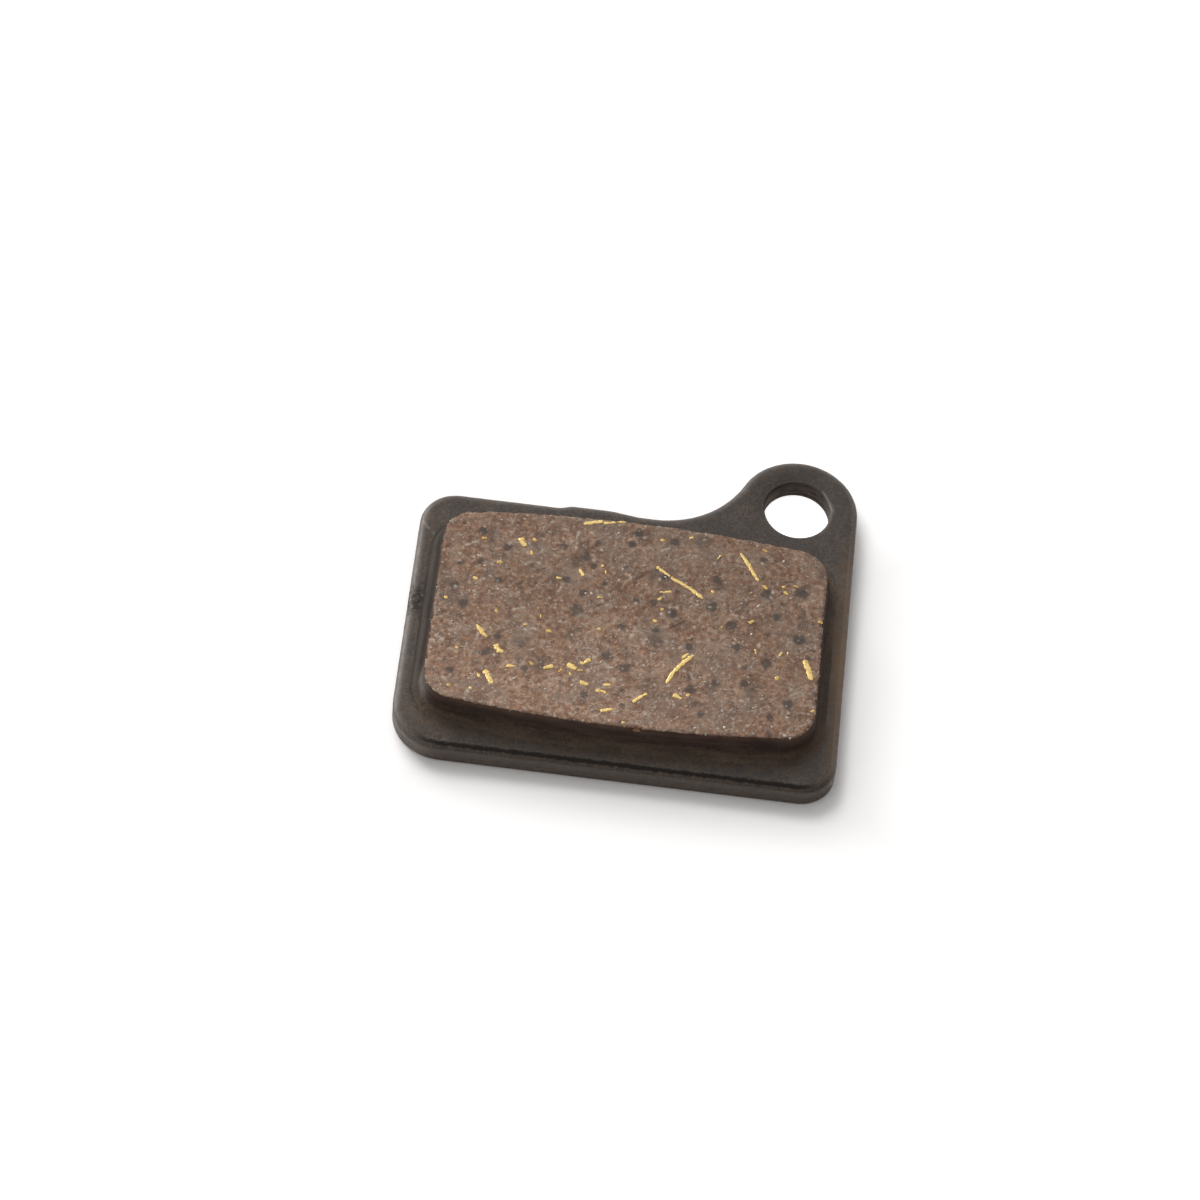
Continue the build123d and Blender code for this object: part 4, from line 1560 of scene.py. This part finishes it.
class PAD_OT_stage(Operator):
    """Lays the floor, hangs the lights and the dark cards, and stands the camera as for the photograph"""

    bl_idname = "pad.stage"
    bl_label = "Stage"

    def execute(self, context):
        stage = context.scene.pad_stage
        context.scene.view_settings.view_transform = "Standard"
        self.place_camera(context, stage)
        key = self.hang_light("key_light", stage.key_place, (stage.key_size, stage.key_size), stage.key_power)
        key.visible_glossy = False
        strip = self.hang_light("strip_light", stage.strip_place, stage.strip_size, stage.strip_power)
        strip.visible_diffuse = False
        self.light_sky(context, stage)
        self.lay_floor(stage)
        self.stand_flag("front_flag", stage.flag_place, stage)
        self.stand_flag("side_flag", stage.side_flag_place, stage)
        return {"FINISHED"}

    def place_camera(self, context, stage):
        """Stands the camera at the photograph's viewing angle."""
        data = bpy.data.cameras.new("camera")
        data.lens = stage.lens
        data.sensor_width = SENSOR
        data.clip_start = CLIP_START
        camera = new_piece("camera", data)
        stand(camera, stage.eye, camera_turn(stage))
        context.scene.camera = camera

    def hang_light(self, name, place, size, power):
        """Hangs a soft light that faces the pad."""
        data = bpy.data.lights.new(name, "AREA")
        data.shape = "RECTANGLE"
        data.size, data.size_y = size
        data.energy = power
        light = new_piece(name, data)
        stand(light, place, (-Vector(place)).to_track_quat("-Z", "Y"))
        return light

    def light_sky(self, context, stage):
        """Lights the scene evenly from all round, and shows white."""
        world = bpy.data.worlds.new("sky")
        world.use_nodes = True
        context.scene.world = world
        graph = Graph(world.node_tree)
        level = graph.ease(seen_directly(graph), 0.0, 1.0, stage.sky_level, 1.0)
        graph.fill(world.node_tree.nodes["Background"], {"Color": WHITE, "Strength": level})

    def lay_floor(self, stage):
        """Lays the white floor under the pad."""
        material, graph, shader, place = new_material("white_floor")
        lift = graph.times(seen_directly(graph), self.lift_round_shadow(graph, place, stage))
        seen = graph.node("ShaderNodeLightPath").outputs["Is Camera Ray"]
        graph.fill(shader, {
            "Base Color": rgba(stage.floor_colour), "Roughness": 0.9, "Specular IOR Level": 0.0,
            "Emission Color": WHITE,
            "Emission Strength": graph.plus(
                graph.times(seen, self.lift_in_eyelet(graph, place, stage)), lift)})
        level = Vector((0.0, 0.0, CAD_BOX[0][2] - FLOOR_GAP))
        corners = [level + corner for corner in sheet_corners(stage.floor_size, stage.floor_size)]
        floor = new_sheet("floor", corners, material)

    def lift_round_shadow(self, graph, place, stage):
        """Painted shadow: the floor's lift to white, held low beside the pad where its shadow falls, which darkens that
        shadow.
        """
        at = graph.split(place)
        beyond = []
        for axis, shift in enumerate(SHADOW_SHIFT):
            middle = (BLOCK_LOW[axis] + BLOCK_HIGH[axis]) / 2 + shift
            half = (BLOCK_HIGH[axis] - BLOCK_LOW[axis]) / 2
            off = graph.math("ABSOLUTE", graph.less(at[axis], middle / MM))
            beyond.append(graph.less(off, half / MM))
        start, end = (reach / MM for reach in stage.shadow_reach)
        return graph.ease(graph.most(*beyond), start, end, stage.shadow_glow, stage.floor_glow)

    def lift_in_eyelet(self, graph, place, stage):
        """Painted light: the floor's lift to white under the eyelet, over the shadow that the plate casts there."""
        hole = next(mount for mount in frame["record"]["mounts"] if mount["name"] == "pin_hole")
        middle = (hole["pos_m"][0] / MM, hole["pos_m"][1] / MM, 0.0)
        off = graph.vector("MULTIPLY", graph.vector("SUBTRACT", place, middle), (1.0, 1.0, 0.0))
        away = graph.node("ShaderNodeVectorMath", {0: off}, operation="LENGTH").outputs["Value"]
        none_from, full_to = (hole["dims"]["r_mm"] + past for past in EYELET_FADE)
        return graph.ease(away, none_from, full_to, 0.0, stage.eyelet_glow)

    def stand_flag(self, name, place, stage):
        """Stands a dark card that dims the side it stands on, out of the picture."""
        material, graph, shader, _ = new_material(name)
        graph.fill(shader, {
            "Base Color": rgba(stage.flag_colour), "Roughness": 1.0, "Specular IOR Level": 0.0})
        place = Vector(place)
        facing = place.to_track_quat("Z", "Y")
        flag = new_sheet(
            name, [place + facing @ corner for corner in sheet_corners(*stage.flag_size)], material)
        flag.visible_camera = False
        flag.visible_shadow = False


class PAD_OT_backing_plate(Operator):
    """Builds the stamped backing plate with its rolled edge and its satin coat"""

    bl_idname = "pad.backing_plate"
    bl_label = "Backing Plate"

    def execute(self, context):
        settings = context.scene.pad_coat
        foot = level_outline(frame["nodes"]["friction_block"], BLOCK_LOW.z)
        mesh = plate_mesh(frame["nodes"]["backing_plate"], foot, settings, context.scene.pad_stage)
        plate = new_piece("satin_coated_plate", mesh)
        material = coat_material(settings, shared_group("Satin Coat", context))
        run_tree(plate, make_coat_relief_tree(), {
            "Peel": settings.peel, "Burr": settings.burr, "Crust": settings.crust,
            "Seed": float(settings.seed), "Material": material})
        settle(plate, "black_coat", "backing_plate")
        return {"FINISHED"}


class PAD_OT_friction_block(Operator):
    """Builds the friction block with its ground face, chipped edge and coated walls"""

    bl_idname = "pad.friction_block"
    bl_label = "Friction Block"

    def execute(self, context):
        settings = context.scene.pad_compound
        mesh = block_mesh(frame["nodes"]["friction_block"], settings, context.scene.pad_stage)
        block = new_piece("friction_compound", mesh)
        material = compound_material(
            settings, shared_group("Satin Coat", context), shared_group("Grain Cells", context))
        run_tree(block, make_relief_tree(), {
            "Grain Relief": settings.grain_relief, "Pit Depth": settings.pit_depth,
            "Chip Reach": settings.chip_reach, "Chip Depth": settings.chip_depth,
            "Wall Relief": settings.wall_relief, "Seed": float(settings.seed), "Material": material})
        settle(block, "friction_compound", "friction_block")
        return {"FINISHED"}


class PAD_OT_brass_slivers(Operator):
    """Lays the brass slivers in the friction face"""

    bl_idname = "pad.brass_slivers"
    bl_label = "Brass Slivers"

    def execute(self, context):
        settings = context.scene.pad_slivers
        block = bpy.data.objects["friction_compound"]
        slivers = new_piece("brass_slivers", sliver_paths(block, context.scene.pad_stage, settings))
        run_tree(slivers, make_sliver_tree(), {
            "Stand": settings.stand, "Wander": settings.wander, "Face Level": FACE_Z,
            "Seed": float(settings.seed), "Material": brass_material(settings)})
        settle(slivers, "brass_sliver")
        return {"FINISHED"}


class PAD_OT_grit(Operator):
    """Scatters mineral grit over the friction face and along its edge"""

    bl_idname = "pad.grit"
    bl_label = "Mineral Grit"

    def execute(self, context):
        settings = context.scene.pad_grit
        bed = grit_bed(bpy.data.objects["friction_compound"], context.scene.pad_stage)
        grit = new_piece("mineral_grit", bed)
        run_tree(grit, make_grit_tree(), {
            "Density": settings.density, "Size": settings.size, "Stand": settings.stand,
            "Face Level": FACE_Z, "Seed": settings.seed, "Material": grit_material(settings)})
        settle(grit, "friction_compound")
        return {"FINISHED"}


class PAD_PT_sidebar(Panel):
    """Lists the pad's pieces and settings"""

    bl_idname = "PAD_PT_sidebar"
    bl_label = "Disc Brake Pad"
    bl_space_type = "VIEW_3D"
    bl_region_type = "UI"
    bl_category = "Brake Pad"

    def draw(self, context):
        for operator, group in STEPS:
            box = self.layout.box()
            box.operator(operator.bl_idname)
            settings = getattr(context.scene, group)
            for name in settings.__annotations__:
                box.prop(settings, name)


SETTINGS = {
    "pad_stage": PadStageSettings,
    "pad_coat": PadCoatSettings,
    "pad_compound": PadCompoundSettings,
    "pad_slivers": PadSliverSettings,
    "pad_grit": PadGritSettings,
}
STEPS = (
    (PAD_OT_stage, "pad_stage"),
    (PAD_OT_backing_plate, "pad_coat"),
    (PAD_OT_friction_block, "pad_compound"),
    (PAD_OT_brass_slivers, "pad_slivers"),
    (PAD_OT_grit, "pad_grit"),
)


def register():
    """Registers the settings, the operators and the panel."""
    for name, group in SETTINGS.items():
        bpy.utils.register_class(group)
        setattr(bpy.types.Scene, name, PointerProperty(type=group))
    for operator, _ in STEPS:
        bpy.utils.register_class(operator)
    bpy.utils.register_class(PAD_PT_sidebar)


def unregister():
    """Takes the panel, the operators and the settings out again."""
    bpy.utils.unregister_class(PAD_PT_sidebar)
    for operator, _ in reversed(STEPS):
        bpy.utils.unregister_class(operator)
    for name, group in reversed(SETTINGS.items()):
        delattr(bpy.types.Scene, name)
        bpy.utils.unregister_class(group)


def main():
    """Registers the add-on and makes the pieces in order."""
    register()
    bpy.ops.pad.stage()
    bpy.ops.pad.backing_plate()
    bpy.ops.pad.friction_block()
    bpy.ops.pad.brass_slivers()
    bpy.ops.pad.grit()


if __name__ == "__main__":
    main()
